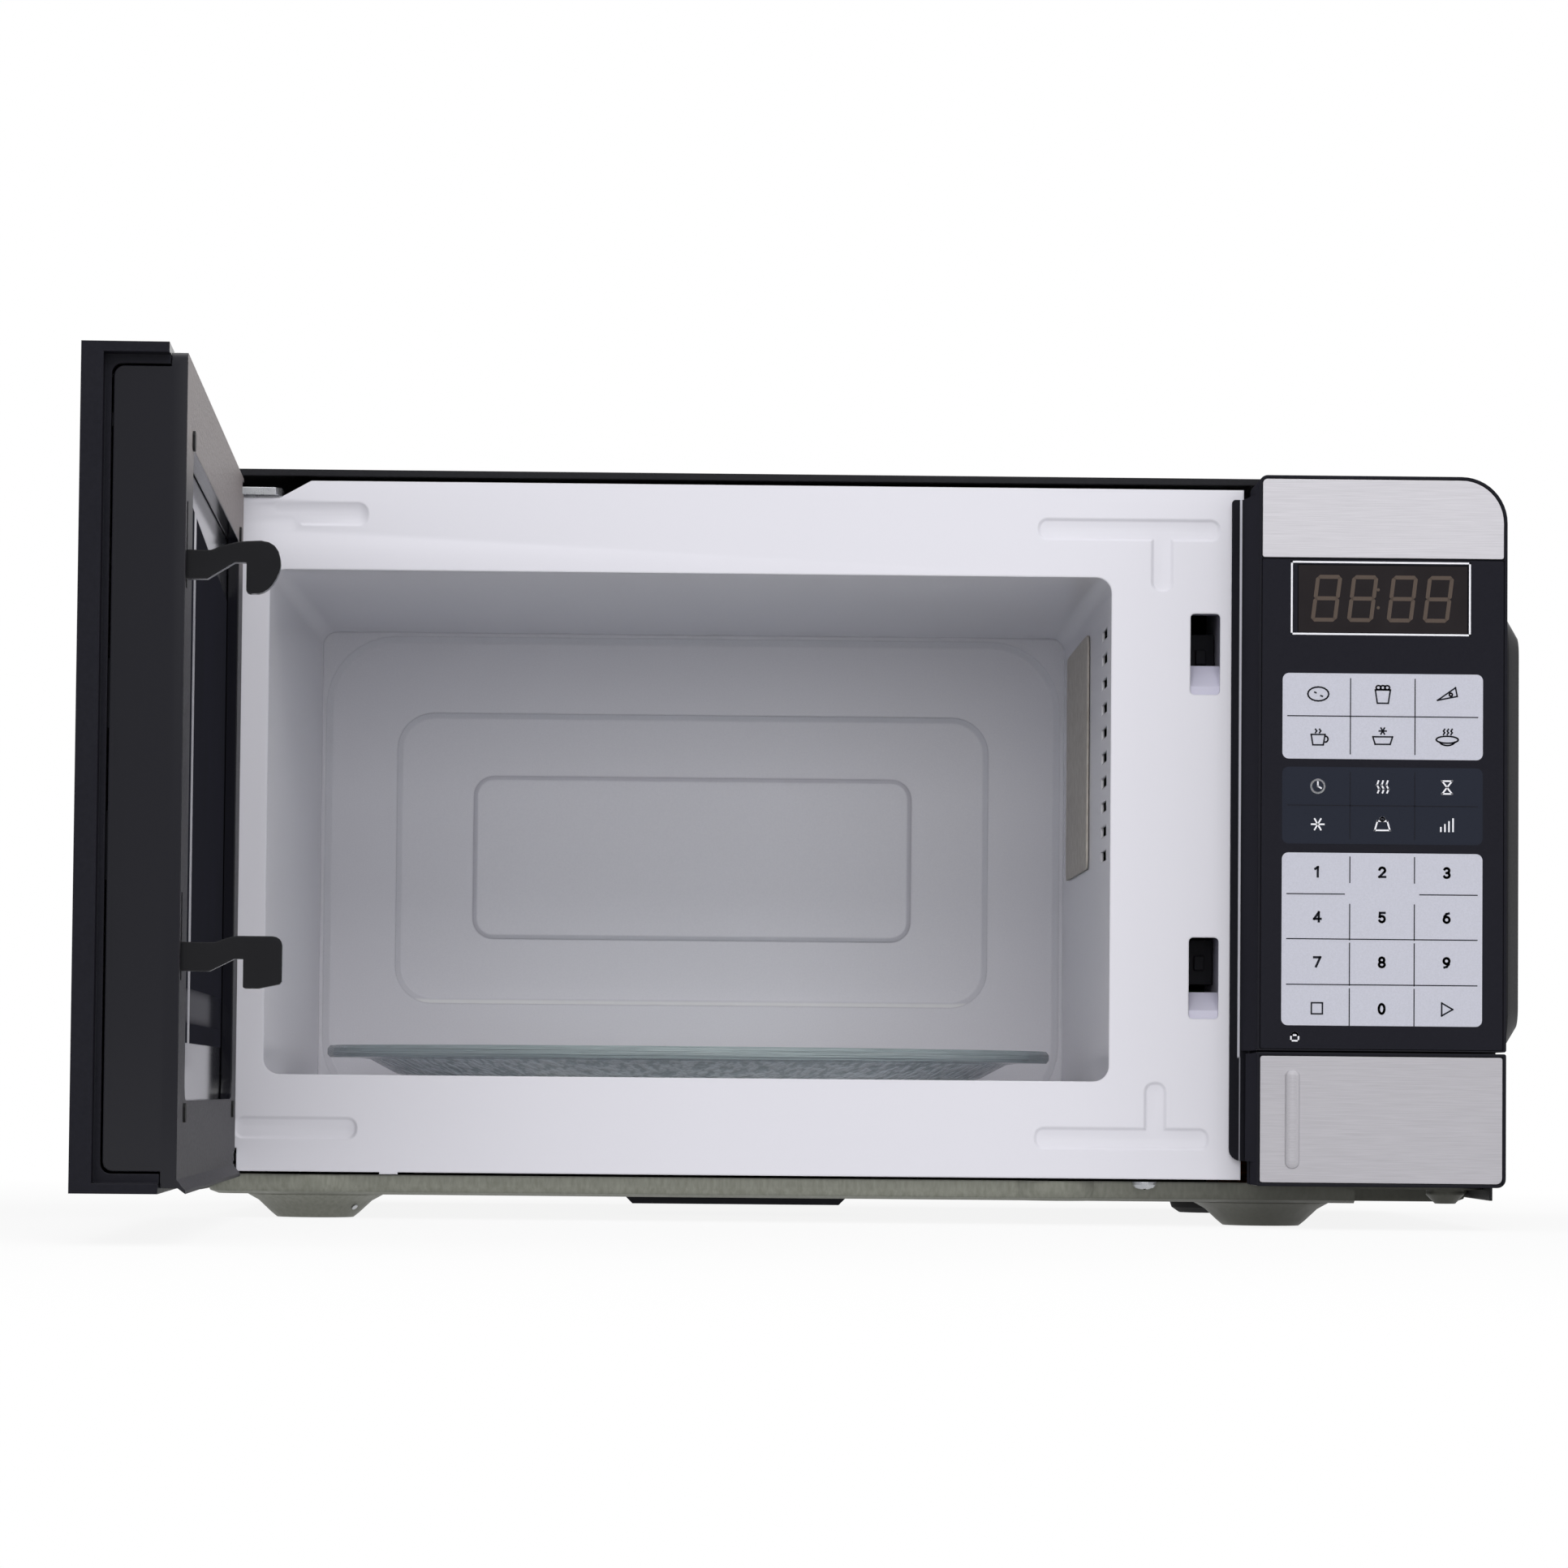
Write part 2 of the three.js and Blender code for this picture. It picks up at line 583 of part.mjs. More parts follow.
function buildTurntable() {
  const motorTop = cavityFloor - sheet - gap;
  const motor = joined(
    rod('xy', 0, turntableY, 24.5, motorTop - 14, motorTop, 20),
    box(-31, 31, turntableY - 7, turntableY + 7, motorTop - 1.2, motorTop),
    rod('xy', 0, turntableY, 3.5, motorTop - 1, cavityFloor + 8, 10));
  piece('turntable_motor', motor, 'steel');

  hub.name = 'turntable_axis';
  hub.position.set(0, turntableY, 0);
  oven.add(hub);
  const origin = [0, turntableY, 0];
  const collar = turned([
    [0, couplerTop], [0, cavityFloor + 8.4], [3.8, cavityFloor + 8.4], [3.8, cavityFloor + gap],
    [7, cavityFloor + gap], [9.5, cavityFloor + 7], [9.5, couplerTop], [0, couplerTop],
  ], 0, turntableY, 20);
  const arms = [];
  for (let i = 0; i < 3; i += 1) {
    const arm = prism(roundedRect(4, couplerArm, -3.5, 3.5, 2), 'xy', couplerTop - 6, couplerTop,
      { segments: 3 });
    arms.push(arm.rotate([0, 0, i * 120]).translate([0, turntableY, 0]));
  }
  piece('turntable_coupler', joined(collar, ...arms), 'whitePlastic', hub, origin);

  const bottom = trayUnder;
  const rimUnder = trayRimTop - trayRimThickness;
  const dish = turned([
    [0, bottom], [trayFlatRadius, bottom], [trayFlatRadius + 5, bottom + 1.4],
    [trayRadius - 16, rimUnder - 0.6], [trayRadius - 11, rimUnder], [trayRadius - 1, rimUnder],
    [trayRadius, rimUnder + 1.2], [trayRadius, trayRimTop - 1.2], [trayRadius - 1, trayRimTop],
    [trayRadius - 12, trayRimTop], [trayRadius - 18, trayRimTop - 1.2],
    [trayFlatRadius + 3, bottom + trayThickness + 1], [trayFlatRadius - 4, bottom + trayThickness],
    [0, bottom + trayThickness],
  ], 0, turntableY, 48);
  const lugs = [];
  for (let i = 0; i < 3; i += 1) {
    const lug = rod('xy', 13, 0, 3, bottom - 4, bottom + 1, 8);
    lugs.push(lug.rotate([0, 0, 60 + i * 120]).translate([0, turntableY, 0]));
  }
  piece('glass_tray', joined(dish, ...lugs), 'tealGlass', hub, origin);
}

function buildRollerRing() {
  const ring = new THREE.Group();
  ring.name = 'roller_ring_axis';
  ring.position.set(0, turntableY, 0);
  oven.add(ring);
  const axleZ = cavityFloor + gap + rollerRadius;
  const ringOuter = rollerTrack - rollerWidth / 2 - gap - 1.5;
  const band = turned([
    [ringOuter - 6, axleZ - 3], [ringOuter, axleZ - 3], [ringOuter, axleZ + 3],
    [ringOuter - 6, axleZ + 3], [ringOuter - 6, axleZ - 3],
  ], 0, 0, 40);
  const axles = [];
  for (let i = 0; i < rollerCount; i += 1) {
    const stub = rod('yz', 0, axleZ, 2, ringOuter - 1, rollerTrack + rollerWidth / 2 + 1, 10);
    const washer = rod('yz', 0, axleZ, 3.4, ringOuter - 1, rollerTrack - rollerWidth / 2 - gap, 10);
    const head = rod('yz', 0, axleZ, 2.6, rollerTrack + rollerWidth / 2 + gap,
      rollerTrack + rollerWidth / 2 + 1.5, 10);
    axles.push(joined(stub, washer, head).rotate([0, 0, i * 360 / rollerCount]));
  }
  piece('roller_ring', joined(band, ...axles), 'whitePlastic', ring);

  for (let i = 0; i < rollerCount; i += 1) {
    const spoke = new THREE.Group();
    spoke.name = `roller_axis_${i + 1}`;
    spoke.rotation.z = i * 2 * Math.PI / rollerCount;
    ring.add(spoke);
    const wheel = cut(
      rod('yz', 0, axleZ, rollerRadius, rollerTrack - rollerWidth / 2, rollerTrack + rollerWidth / 2, 20),
      rod('yz', 0, axleZ, 2 + gap, rollerTrack - rollerWidth, rollerTrack + rollerWidth, 10));
    piece(`roller_${i + 1}`, wheel, 'whitePlastic', spoke);
  }
}

// ---------------------------------------------------------------- door
const hinge = new THREE.Group();
hinge.name = 'door_hinge_axis';
hinge.position.set(hingeX, hingeY, 0);
hinge.rotation.z = -openAngle;
oven.add(hinge);
const hingeOrigin = [hingeX, hingeY, 0];
const doorPiece = (name, body, material) => piece(name, body, material, hinge, hingeOrigin);

const pinRadius = 2.4;
const pinHead = 1.2; // how far the head stands out round the pin
const pinBlock = 30;
const trayRear = doorOuter + trayDepth;
const edgeX = doorRight - edgeInset;
const windowX = [hingeX + windowMargin.hinge, edgeX - windowMargin.free];
const windowZ = [frontBottom + windowMargin.low, frontTop - windowMargin.high];
const floorY = doorOuter + glassThickness + gap + moulding; // inside of the frame's front wall
const seam = 0.7;
const coverFace = trayRear + gap;
const latchBarY = [hingeY - 9, hingeY - 1];
const springTop = frontTop - 23.9;
const guideLevels = [26, 70]; // latch guides, above the lower hook's arm
const guideHeight = 20;
// Recess of the door's free edge: a flap of the inner cover closes it.
const flapZ = [frontBottom + 6.4, frontTop - 6.3];
const flapFront = doorOuter + 9.2;

// Space in the door's corner for the hinge tongue, from closed to fully open.
function tongueSlots() {
  return [tongueUpper, tongueLower].map((z) => box(
    caseLeft - through, hingeX + tongueHalf + 0.8, hingeY - 8.4, doorInner + through,
    z - 1, z + tongueThickness + 1));
}

function latchGuides() {
  const outer = [hookX - hookThickness / 2 - 2, hookX + hookThickness / 2 + 2];
  const inner = [hookX - hookThickness / 2 - gap, hookX + hookThickness / 2 + gap];
  const rear = hingeY + 0.6;
  const guide = (z) => cut(
    box(...outer, floorY - 1, rear, z, z + guideHeight),
    box(...inner, latchBarY[0] - gap, rear + through, z - 1, z + guideHeight + 1));
  const stop = springTop + gap;
  return [
    ...guideLevels.map((rise) => guide(lowerHook + rise)),
    box(...outer, floorY - 1, rear, stop, stop + 4),
  ];
}

function buildDoorFrame() {
  const shell = box(caseLeft, doorRight, doorOuter, trayRear, frontBottom, frontTop);
  const hollow = box(caseLeft + moulding, edgeX - 3, floorY, trayRear + through,
    frontBottom + rim, frontTop - rim);
  const edgePocket = box(edgeX, doorRight + through, doorOuter + edgeFlange, trayRear + through,
    frontBottom + rim, frontTop - rim);
  const flap = prism(
    roundedRect(-(trayRear + 10), seam - flapFront, flapZ[0] - seam, flapZ[1] + seam, 3),
    'yz', edgeX - 6, edgeX + 3)
    .mirror([0, 1, 0]);
  const columns = [
    box(caseLeft + 1, hingeX + 7.4, floorY - 1, trayRear, frontTop - rim - pinBlock, frontTop - 1),
    box(caseLeft + 1, hingeX + 7.4, floorY - 1, trayRear, frontBottom + 1, frontBottom + rim + pinBlock),
  ];
  const bores = [
    rod('xy', hingeX, hingeY, pinRadius + gap, frontTop - rim - pinBlock - 1, frontTop - 1.4, 12),
    rod('xy', hingeX, hingeY, pinRadius + gap, frontBottom + 1.4, frontBottom + rim + pinBlock + 1, 12),
  ];
  const recess = (z0, z1, depth) => box(
    caseLeft + bandMargin - gap, doorRight - bandMargin + gap, doorOuter - through, doorOuter + depth,
    z0 - gap, z1 + gap);
  const recesses = [
    recess(bandBottom, frontTop - bandMargin, trimThickness + gap),
    recess(frontBottom + bandMargin, buttonTop - bandMargin, trimThickness + gap),
    recess(buttonTop, bandBottom - bandMargin, glassThickness + gap),
  ];
  const aperture = prism(
    roundedRect(windowX[0] + 4, windowX[1] - 4, buttonTop + 6, bandBottom - 7, 4),
    'xz', doorOuter - 1, floorY + 1,
    { segments: 3 });
  const base = joined(cut(shell, hollow, edgePocket, flap), ...columns, ...latchGuides());
  doorPiece('door_frame', cut(base, ...recesses, aperture, ...bores, ...tongueSlots()), 'plasticBlack');
}

function buildDoorFront() {
  const x0 = caseLeft + bandMargin;
  const x1 = doorRight - bandMargin;
  const band = (z0, z1, thickness) => prism(
    roundedRect(x0, x1, z0, z1, 0.8), 'xz', doorOuter, doorOuter + thickness, { segments: 2 });
  doorPiece('door_trim_top', band(bandBottom, frontTop - bandMargin, trimThickness), 'stainless');
  doorPiece('door_trim_bottom',
    band(frontBottom + bandMargin, buttonTop - bandMargin, trimThickness), 'stainless');
  doorPiece('door_glass', band(buttonTop, bandBottom - bandMargin, glassThickness), 'smokedGlass');
}

const chokeX = [hingeX + 8.6, edgeX - 16];
const chokeZ = [frontBottom + rim + 4.2, frontTop - rim - 4.2];
const chokeRear = coverFace - 0.6;
const chokeFront = floorY + 3;

// Steel choke panel: a toothed channel runs round the raised screen.
function buildChokePanel() {
  const ring = (inset, y0, y1) => box(
    chokeX[0] + inset, chokeX[1] - inset, y0, y1, chokeZ[0] + inset, chokeZ[1] - inset);
  const channel = cut(
    ring(sheet, chokeFront + sheet, chokeRear + through),
    ring(sheet + chokeWidth, chokeFront, chokeRear + through));
  const hollow = ring(2 * sheet + chokeWidth, chokeFront - through, chokeRear - sheet);
  const teeth = [];
  const toothTop = chokeRear + through;
  const toothBase = chokeRear - 8;
  for (let x = chokeX[0] + chokeToothPitch; x < chokeX[1] - chokeToothPitch / 2; x += chokeToothPitch) {
    teeth.push(box(x, x + chokeToothSlot, toothBase, toothTop, chokeZ[0] - 1, chokeZ[0] + sheet + 1));
    teeth.push(box(x, x + chokeToothSlot, toothBase, toothTop, chokeZ[1] - sheet - 1, chokeZ[1] + 1));
  }
  for (let z = chokeZ[0] + chokeToothPitch; z < chokeZ[1] - chokeToothPitch / 2; z += chokeToothPitch) {
    teeth.push(box(chokeX[0] - 1, chokeX[0] + sheet + 1, toothBase, toothTop, z, z + chokeToothSlot));
    teeth.push(box(chokeX[1] - sheet - 1, chokeX[1] + 1, toothBase, toothTop, z, z + chokeToothSlot));
  }
  doorPiece('door_choke_panel', cut(ring(0, chokeFront, chokeRear), channel, hollow, ...teeth), 'steel');

  const pane = box(windowX[0] - 2.5, windowX[1] + 2.5, chokeRear + gap, chokeRear + gap + 1,
    windowZ[0] - 2.5, windowZ[1] + 2.5);
  doorPiece('door_inner_window', pane, 'smokedGlass');
}

function buildChokeCover() {
  const zLow = frontBottom + 2.6;
  const zHigh = frontTop - 2.2;
  const left = caseLeft + 2.4;
  const ring = prism(roundedRect(left, edgeX, zLow, zHigh, 1.5), 'xz', coverFace, doorInner, { segments: 2 });
  const window = prism(roundedRect(...windowX, ...windowZ, 7), 'xz', coverFace - 1, doorInner + 1);
  const lip = 3;
  const pocket = cut(
    box(left + moulding, edgeX - moulding, coverFace - 1, doorInner - moulding,
      zLow + moulding, zHigh - moulding),
    box(windowX[0] - lip, windowX[1] + lip, coverFace - 2, doorInner, windowZ[0] - lip, windowZ[1] + lip));
  const paneRoom = box(windowX[0] - lip, windowX[1] + lip, coverFace - 2, chokeRear + 2 * gap + 1,
    windowZ[0] - lip, windowZ[1] + lip);
  const flap = prism(
    roundedRect(-(coverFace + 1), -flapFront, ...flapZ, [0.2, 3, 3, 0.2]), 'yz', edgeX - 2.5, edgeX)
    .mirror([0, 1, 0]);
  const armSlots = hookLevels.map((z) => box(
    hookX - hookThickness / 2 - 0.6, hookX + hookThickness / 2 + 0.6, coverFace - 1, doorInner + 1,
    z - 2.6, z + hookArm + latchTravel + 5));
  const ledge = prism(polygon([
    [trayRear + gap, zLow - 1], [doorInner + 0.4, zLow - 1], [doorInner + 2.6, zLow - 2.6],
    [doorInner + 2.6, zLow - 1.6], [doorInner, zLow + 1.5], [trayRear + gap, zLow + 1.5],
  ]), 'yz', hingeX + 9, edgeX);
  const pinLength = rim + pinBlock + 3;
  const pinRoom = [frontBottom, frontTop - pinLength].map((z) => rod(
    'xy', hingeX, hingeY, pinRadius + pinHead + gap, z, z + pinLength, 12));
  const body = joined(cut(ring, window, pocket, paneRoom), flap, ledge);
  doorPiece('door_choke_cover', cut(body, ...armSlots, ...tongueSlots(), ...pinRoom), 'plasticBlack');
}

function buildHingePins() {
  const upperBlock = frontTop - rim - pinBlock;
  const lowerBlock = frontBottom + rim + pinBlock;
  const upper = joined(
    rod('xy', hingeX, hingeY, pinRadius, upperBlock - 1, frontTop - 1.8, 12),
    rod('xy', hingeX, hingeY, pinRadius + pinHead, upperBlock - 2.4, upperBlock - gap, 12));
  const lower = joined(
    rod('xy', hingeX, hingeY, pinRadius, frontBottom + 1.8, lowerBlock + 1, 12),
    rod('xy', hingeX, hingeY, pinRadius + pinHead, lowerBlock + gap, lowerBlock + 2.4, 12));
  doorPiece('hinge_pin_upper', upper, 'steel');
  doorPiece('hinge_pin_lower', lower, 'steel');
}

// Outline of a hook: reach is measured from the door's inner face, height from its arm's underside.
function upperHookShape() {
  const shape = new THREE.Shape();
  const { start, end, height } = notches[1];
  shape.moveTo(-12, 0);
  shape.lineTo(6.1, 0);
  shape.lineTo(start, height);
  shape.lineTo(end, height);
  shape.lineTo(end, -3);
  shape.quadraticCurveTo(end, -4, end + 1.2, -4.1);
  shape.lineTo(20.9, -4.1);
  shape.quadraticCurveTo(24.2, -3.6, 26.2, 0.6);
  shape.quadraticCurveTo(27.6, 3.4, 27.2, 6);
  shape.quadraticCurveTo(26.6, 11, 21.6, 11.3);
  shape.lineTo(17.2, 11.1);
  shape.quadraticCurveTo(12.4, 10.8, 7.1, hookArm);
  shape.lineTo(-12, hookArm);
  return shape;
}

function lowerHookShape() {
  const shape = new THREE.Shape();
  const { start, end, height } = notches[0];
  shape.moveTo(-12, 0);
  shape.lineTo(8.3, 0);
  shape.lineTo(start, height);
  shape.lineTo(end, height);
  shape.lineTo(end, -4.2);
  shape.quadraticCurveTo(end, -tipDrop, end + 1, -tipDrop);
  shape.lineTo(22.5, -tipDrop);
  shape.lineTo(28.6, -3.6);
  shape.lineTo(29.2, -2.8);
  shape.lineTo(29.2, 7.6);
  shape.quadraticCurveTo(29, 10.1, 26.4, 10.3);
  shape.lineTo(16, 10.3);
  shape.quadraticCurveTo(13.4, 9.9, 9.8, hookArm);
  shape.lineTo(-12, hookArm);
  return shape;
}

function buildLatch() {
  const half = hookThickness / 2;
  const barBottom = lowerHook - 14;
  const barTop = upperHook + 23;
  const bar = box(hookX - half, hookX + half, ...latchBarY, barBottom, barTop);
  const hook = (shape, z) => prism(shape, 'yz', hookX - half, hookX + half, { segments: 4 })
    .translate([0, doorInner, z]);
  const body = joined(bar, hook(lowerHookShape(), lowerHook), hook(upperHookShape(), upperHook));
  doorPiece('latch', body, 'glossBlack');

  // Compression spring between the bar and its stop, a helix in which only the turns repeat.
  class Helix extends THREE.Curve {
    getPoint(t, target = new THREE.Vector3()) {
      const turns = 6;
      const angle = t * turns * 2 * Math.PI;
      const radius = 2.6;
      const low = barTop + gap + 0.5;
      const high = springTop - 0.5;
      return target.set(radius * Math.cos(angle), radius * Math.sin(angle), low + t * (high - low));
    }
  }
  const wire = new THREE.ExtrudeGeometry(circle(0, 0, 0.45), {
    extrudePath: new Helix(), steps: 48, curveSegments: 3, bevelEnabled: false,
  });
  const middle = (latchBarY[0] + latchBarY[1]) / 2;
  doorPiece('latch_spring', solid(wire).translate([hookX, middle, 0]), 'steel');
}

// ---------------------------------------------------------------- hinges and interlock of the body
function buildHinges() {
  const rear = flangeDepth + 5;
  const tongue = (z, right) => {
    const outline = new THREE.Shape();
    outline.moveTo(hingeX - tongueHalf, hingeY);
    outline.absarc(hingeX, hingeY, tongueHalf, Math.PI, 2 * Math.PI, false);
    outline.lineTo(hingeX + tongueHalf, -3);
    if (right > hingeX + tongueHalf) {
      outline.lineTo(right - 2, -2.2);
      outline.lineTo(right, sheet + gap);
    }
    outline.lineTo(right, rear);
    outline.lineTo(hingeX - tongueHalf, rear);
    return cut(prism(outline, 'xy', z, z + tongueThickness, { segments: 6 }),
      rod('xy', hingeX, hingeY, pinRadius + gap, z - 1, z + through, 12));
  };
  const bracket = (z, right, wallBottom, wallTop) => {
    const wall = box(innerLeft + gap, right, sheet + gap, sheet + gap + tongueThickness, wallBottom, wallTop);
    return cut(joined(tongue(z, right), wall), ...beadRelief());
  };
  piece('hinge_upper',
    bracket(tongueUpper, notchX + 0.6, tongueUpper - 12, tongueUpper + tongueThickness), 'steel');
  piece('hinge_lower', bracket(tongueLower, hingeX + tongueHalf, tongueLower, tongueLower + 26), 'steel');
}

const bracketY = sheet + gap;
const wallX = hookX + slotWidth / 2 + 0.6;
const wallThickness = 2.6;
const switchY = doorInner + 29.2 + 4.4;
const switchSize = { width: 9.6, length: 27.8, height: 15.8 };
const switchPins = [5, 22]; // its two fixing holes, from its front
const leverY = 46;
const leverZ = lowerHook - 5;
const leverFace = leverY - 4; // front of the lever's pad
const padTop = leverZ + 15;

function switchBody(x0, z0) {
  const rear = switchY + switchSize.length;
  const terminal = (rise) => box(x0 + 2.6, x0 + 7, rear - 1, rear + 7, z0 + rise, z0 + rise + 1);
  const body = joined(
    box(x0, x0 + switchSize.width, switchY, rear, z0, z0 + switchSize.height),
    box(x0 + 3, x0 + 6.4, switchY - 2.6, switchY + 1, z0 + 5, z0 + 10),
    terminal(2),
    terminal(11));
  return cut(body, ...switchPosts(x0 - 1, x0 + switchSize.width + 1, z0, gap));
}

function switchPosts(x0, x1, z0, grow) {
  return switchPins.map((shift) => rod(
    'yz', switchY + shift, z0 + switchSize.height / 2, 1.6 + grow, x0, x1, 8));
}

function buildInterlock() {
  const wall = box(wallX, wallX + wallThickness, bracketY, 66, lowerHook - 32, upperHook + slotHeight);
  // Each strike stands in the notch of its hook and has a ramp that lifts the hook over it.
  const strikes = notches.map((notch, i) => {
    const z = slotBottoms[i];
    const top = hookLevels[i] + notch.height - 0.7;
    const rear = doorInner + notch.end - 0.5;
    return prism(polygon([
      [bracketY, z - 6], [rear, z - 6], [rear, top], [doorInner + notch.start, top], [bracketY, z + 3],
    ]), 'yz', hookX - slotWidth / 2 - 1, wallX + 1);
  });
  const shelves = slotBottoms.map((z) => box(hookX - slotWidth / 2 - 1, wallX + 1, bracketY, 20,
    z + slotHeight + 1, z + slotHeight + 3));
  const lowSwitch = lowerHook + 6;
  const highSwitch = upperHook + 1;
  const leftX = wallX - gap - switchSize.width;
  const rightX = wallX + wallThickness + gap;
  const posts = [
    ...switchPosts(leftX - 1, wallX + 1, lowSwitch, 0),
    ...switchPosts(leftX - 1, wallX + 1, highSwitch, 0),
    ...switchPosts(wallX + 1, rightX + switchSize.width + 1, lowSwitch, 0),
  ];
  const boss = rod('yz', leverY, leverZ, 6, wallX, wallX + 9, 12);
  const bore = rod('yz', leverY, leverZ, 3 + gap, wallX - 5, wallX + 12, 12);
  piece('interlock_bracket', cut(joined(wall, boss, ...strikes, ...shelves, ...posts), bore), 'lilacPlastic');
  piece('door_switch_primary', switchBody(leftX, highSwitch), 'plasticBlack');
  piece('door_switch_secondary', switchBody(leftX, lowSwitch), 'plasticBlack');
  piece('door_switch_monitor', switchBody(rightX, lowSwitch), 'plasticBlack');

  // Release lever: the button pushes its pad back, its finger lifts the lower hook.
  const pivot = new THREE.Group();
  pivot.name = 'release_lever_axis';
  pivot.position.set(0, leverY, leverZ);
  oven.add(pivot);
  const fingerTop = lowerHook - tipDrop - 0.8;
  const fingerY = doorInner + 24;
  const finger = prism(polygon([
    [leverY + 4, leverZ - 4], [leverY + 4, leverZ + 4], [leverY - 6, leverZ + 3], [fingerY + 5, leverZ - 1.4],
    [fingerY + 3, fingerTop], [fingerY - 2, fingerTop], [fingerY - 2, fingerTop - 3.4],
    [leverY - 8, leverZ - 4],
  ]), 'yz', hookX - 2.4, hookX + 2.4);
  const padArm = prism(polygon([
    [leverY + 4, leverZ - 4], [leverY + 3, padTop], [leverFace + 1, padTop], [leverFace, padTop - 1],
    [leverFace, padTop - 2], [leverFace + 1.2, padTop - 4], [leverFace, leverZ - 4],
  ]), 'yz', ...plungerX);
  const shaft = rod('yz', leverY, leverZ, 3, hookX - 3.4, plungerX[1] + 1, 12);
  piece('release_lever', joined(finger, padArm, shaft), 'whitePlastic', pivot, [0, leverY, leverZ]);
}

// ---------------------------------------------------------------- control panel
const ledgeZ = [frontBottom + 8.2, frontTop - 5.5];
const ledgeLeft = panelLeft - 6.4;
const ledgeFront = -3;
const displayX = [panelLeft + 17.6, caseRight - 17.8];
const displayZ = [bandBottom - 23.6, bandBottom - 5.2];
const keypadTop = bandBottom - bandMargin + 0.6;
const keypadBottom = buttonTop + bandMargin;
const boardY = -12;
const capDepth = 23;
const sleeveInset = 3.2;
const sleeveFront = -22;
const baseFront = frontY + capDepth + buttonTravel + gap;
const plungerX = [panelLeft + 6, panelLeft + 11];
const plungerZ = [frontBottom + 29, frontBottom + 37];
const plungerRise = [6, 11]; // the plunger climbs behind the plate to the lever

function panelOutline(inset, z0) {
  const corner = panelRadius - inset;
  return roundedRect(panelLeft + inset, caseRight - inset, z0, frontTop - inset,
    [0.8, 0.8, corner, Math.max(cornerRadius - inset, 0.4)]);
}

function buildPanelFrame() {
  const bottom = buttonTop + 0.6;
  const rear = -gap;
  const body = prism(panelOutline(0, bottom), 'xz', frontY, rear, { segments: 6 });
  const hollow = prism(panelOutline(moulding, bottom + moulding), 'xz',
    frontY + moulding + 0.6, rear + through,
    { segments: 6 });
  const sleeveBox = (inset, y0, y1) => box(panelLeft + inset, caseRight - inset, y0, y1,
    frontBottom + inset, buttonTop - inset);
  const base = joined(
    prism(roundedRect(panelLeft, caseRight, frontBottom, bottom + 1, [0.8, cornerRadius, 0.1, 0.1]), 'xz',
      baseFront, rear, { segments: 3 }),
    sleeveBox(sleeveInset, sleeveFront, baseFront + 1));
  const sleeve = cut(base, sleeveBox(sleeveInset + 2, sleeveFront + 2, rear + through));
  const ledge = prism(
    roundedRect(ledgeLeft, panelLeft + sleeveInset + 2, ledgeZ[0], ledgeZ[1], [4, 0.2, 0.2, 1]), 'xz',
    ledgeFront, rear, { segments: 3 });
  const draft = prism(polygon([
    [panelLeft + 0.5, frontY + 7], [panelLeft - 2.6, ledgeFront + 0.1], [panelLeft + 0.5, ledgeFront + 0.1],
  ]), 'xy', bottom, ledgeZ[1]);
  const posts = [];
  [panelLeft + 10, caseRight - 10].forEach((x) => [keypadBottom + 22, bandBottom - 30].forEach((z) => {
    posts.push(rod('xz', x, z, 3, frontY + moulding, boardY - gap, 10));
  }));
  const x0 = panelLeft + bandMargin;
  const x1 = caseRight - bandMargin;
  const trimRecess = prism(
    roundedRect(x0 - gap, x1 + gap, bandBottom - gap, frontTop - bandMargin + gap,
      [0.8, 0.8, panelRadius - bandMargin + gap, 2]), 'xz', frontY - through, frontY + trimThickness + gap,
    { segments: 6 });
  const keyRecess = box(x0 - gap, x1 + gap, frontY - through, frontY + 0.9,
    keypadBottom - gap, keypadTop + gap);
  const displayHole = box(...displayX, frontY - 1, frontY + 6, ...displayZ);
  const tailSlot = box(panelLeft + 30, panelLeft + 60, frontY - 1, frontY + 6,
    keypadBottom + 4, keypadBottom + 7);
  const plungerHole = box(plungerX[0] - gap, plungerX[1] + gap, sleeveFront - 1, sleeveFront + 3,
    plungerZ[0] - gap, plungerZ[1] + gap);
  const whole = joined(cut(body, hollow), sleeve, ledge, draft, ...posts);
  const frame = cut(whole, trimRecess, keyRecess, displayHole, tailSlot, plungerHole);
  piece('panel_frame', frame, 'plasticBlack');

  piece('panel_trim_plate', prism(
    roundedRect(x0, x1, bandBottom, frontTop - bandMargin, [0.8, 0.8, panelRadius - bandMargin, 1.6]), 'xz',
    frontY, frontY + trimThickness, { segments: 6 }), 'stainless');
  const windowFrame = 4.2;
  const pad = cut(
    prism(roundedRect(x0, x1, keypadBottom, keypadTop, 0.8), 'xz', frontY, frontY + 0.6, { segments: 2 }),
    box(displayX[0] - windowFrame, displayX[1] + windowFrame, frontY - 1, frontY + 2,
      displayZ[0] - windowFrame + 1.4, displayZ[1] + windowFrame - 1.4));
  piece('membrane_keypad', pad, 'glossBlack');
  piece('display_window', joined(
    box(displayX[0] - windowFrame + gap, displayX[1] + windowFrame - gap, frontY, frontY + 0.6,
      displayZ[0] - windowFrame + 1.4 + gap, displayZ[1] + windowFrame - 1.4 - gap),
    box(displayX[0] + gap, displayX[1] - gap, frontY, frontY + 2.4, displayZ[0] + gap, displayZ[1] - gap)),
  'smokedGlass');
}

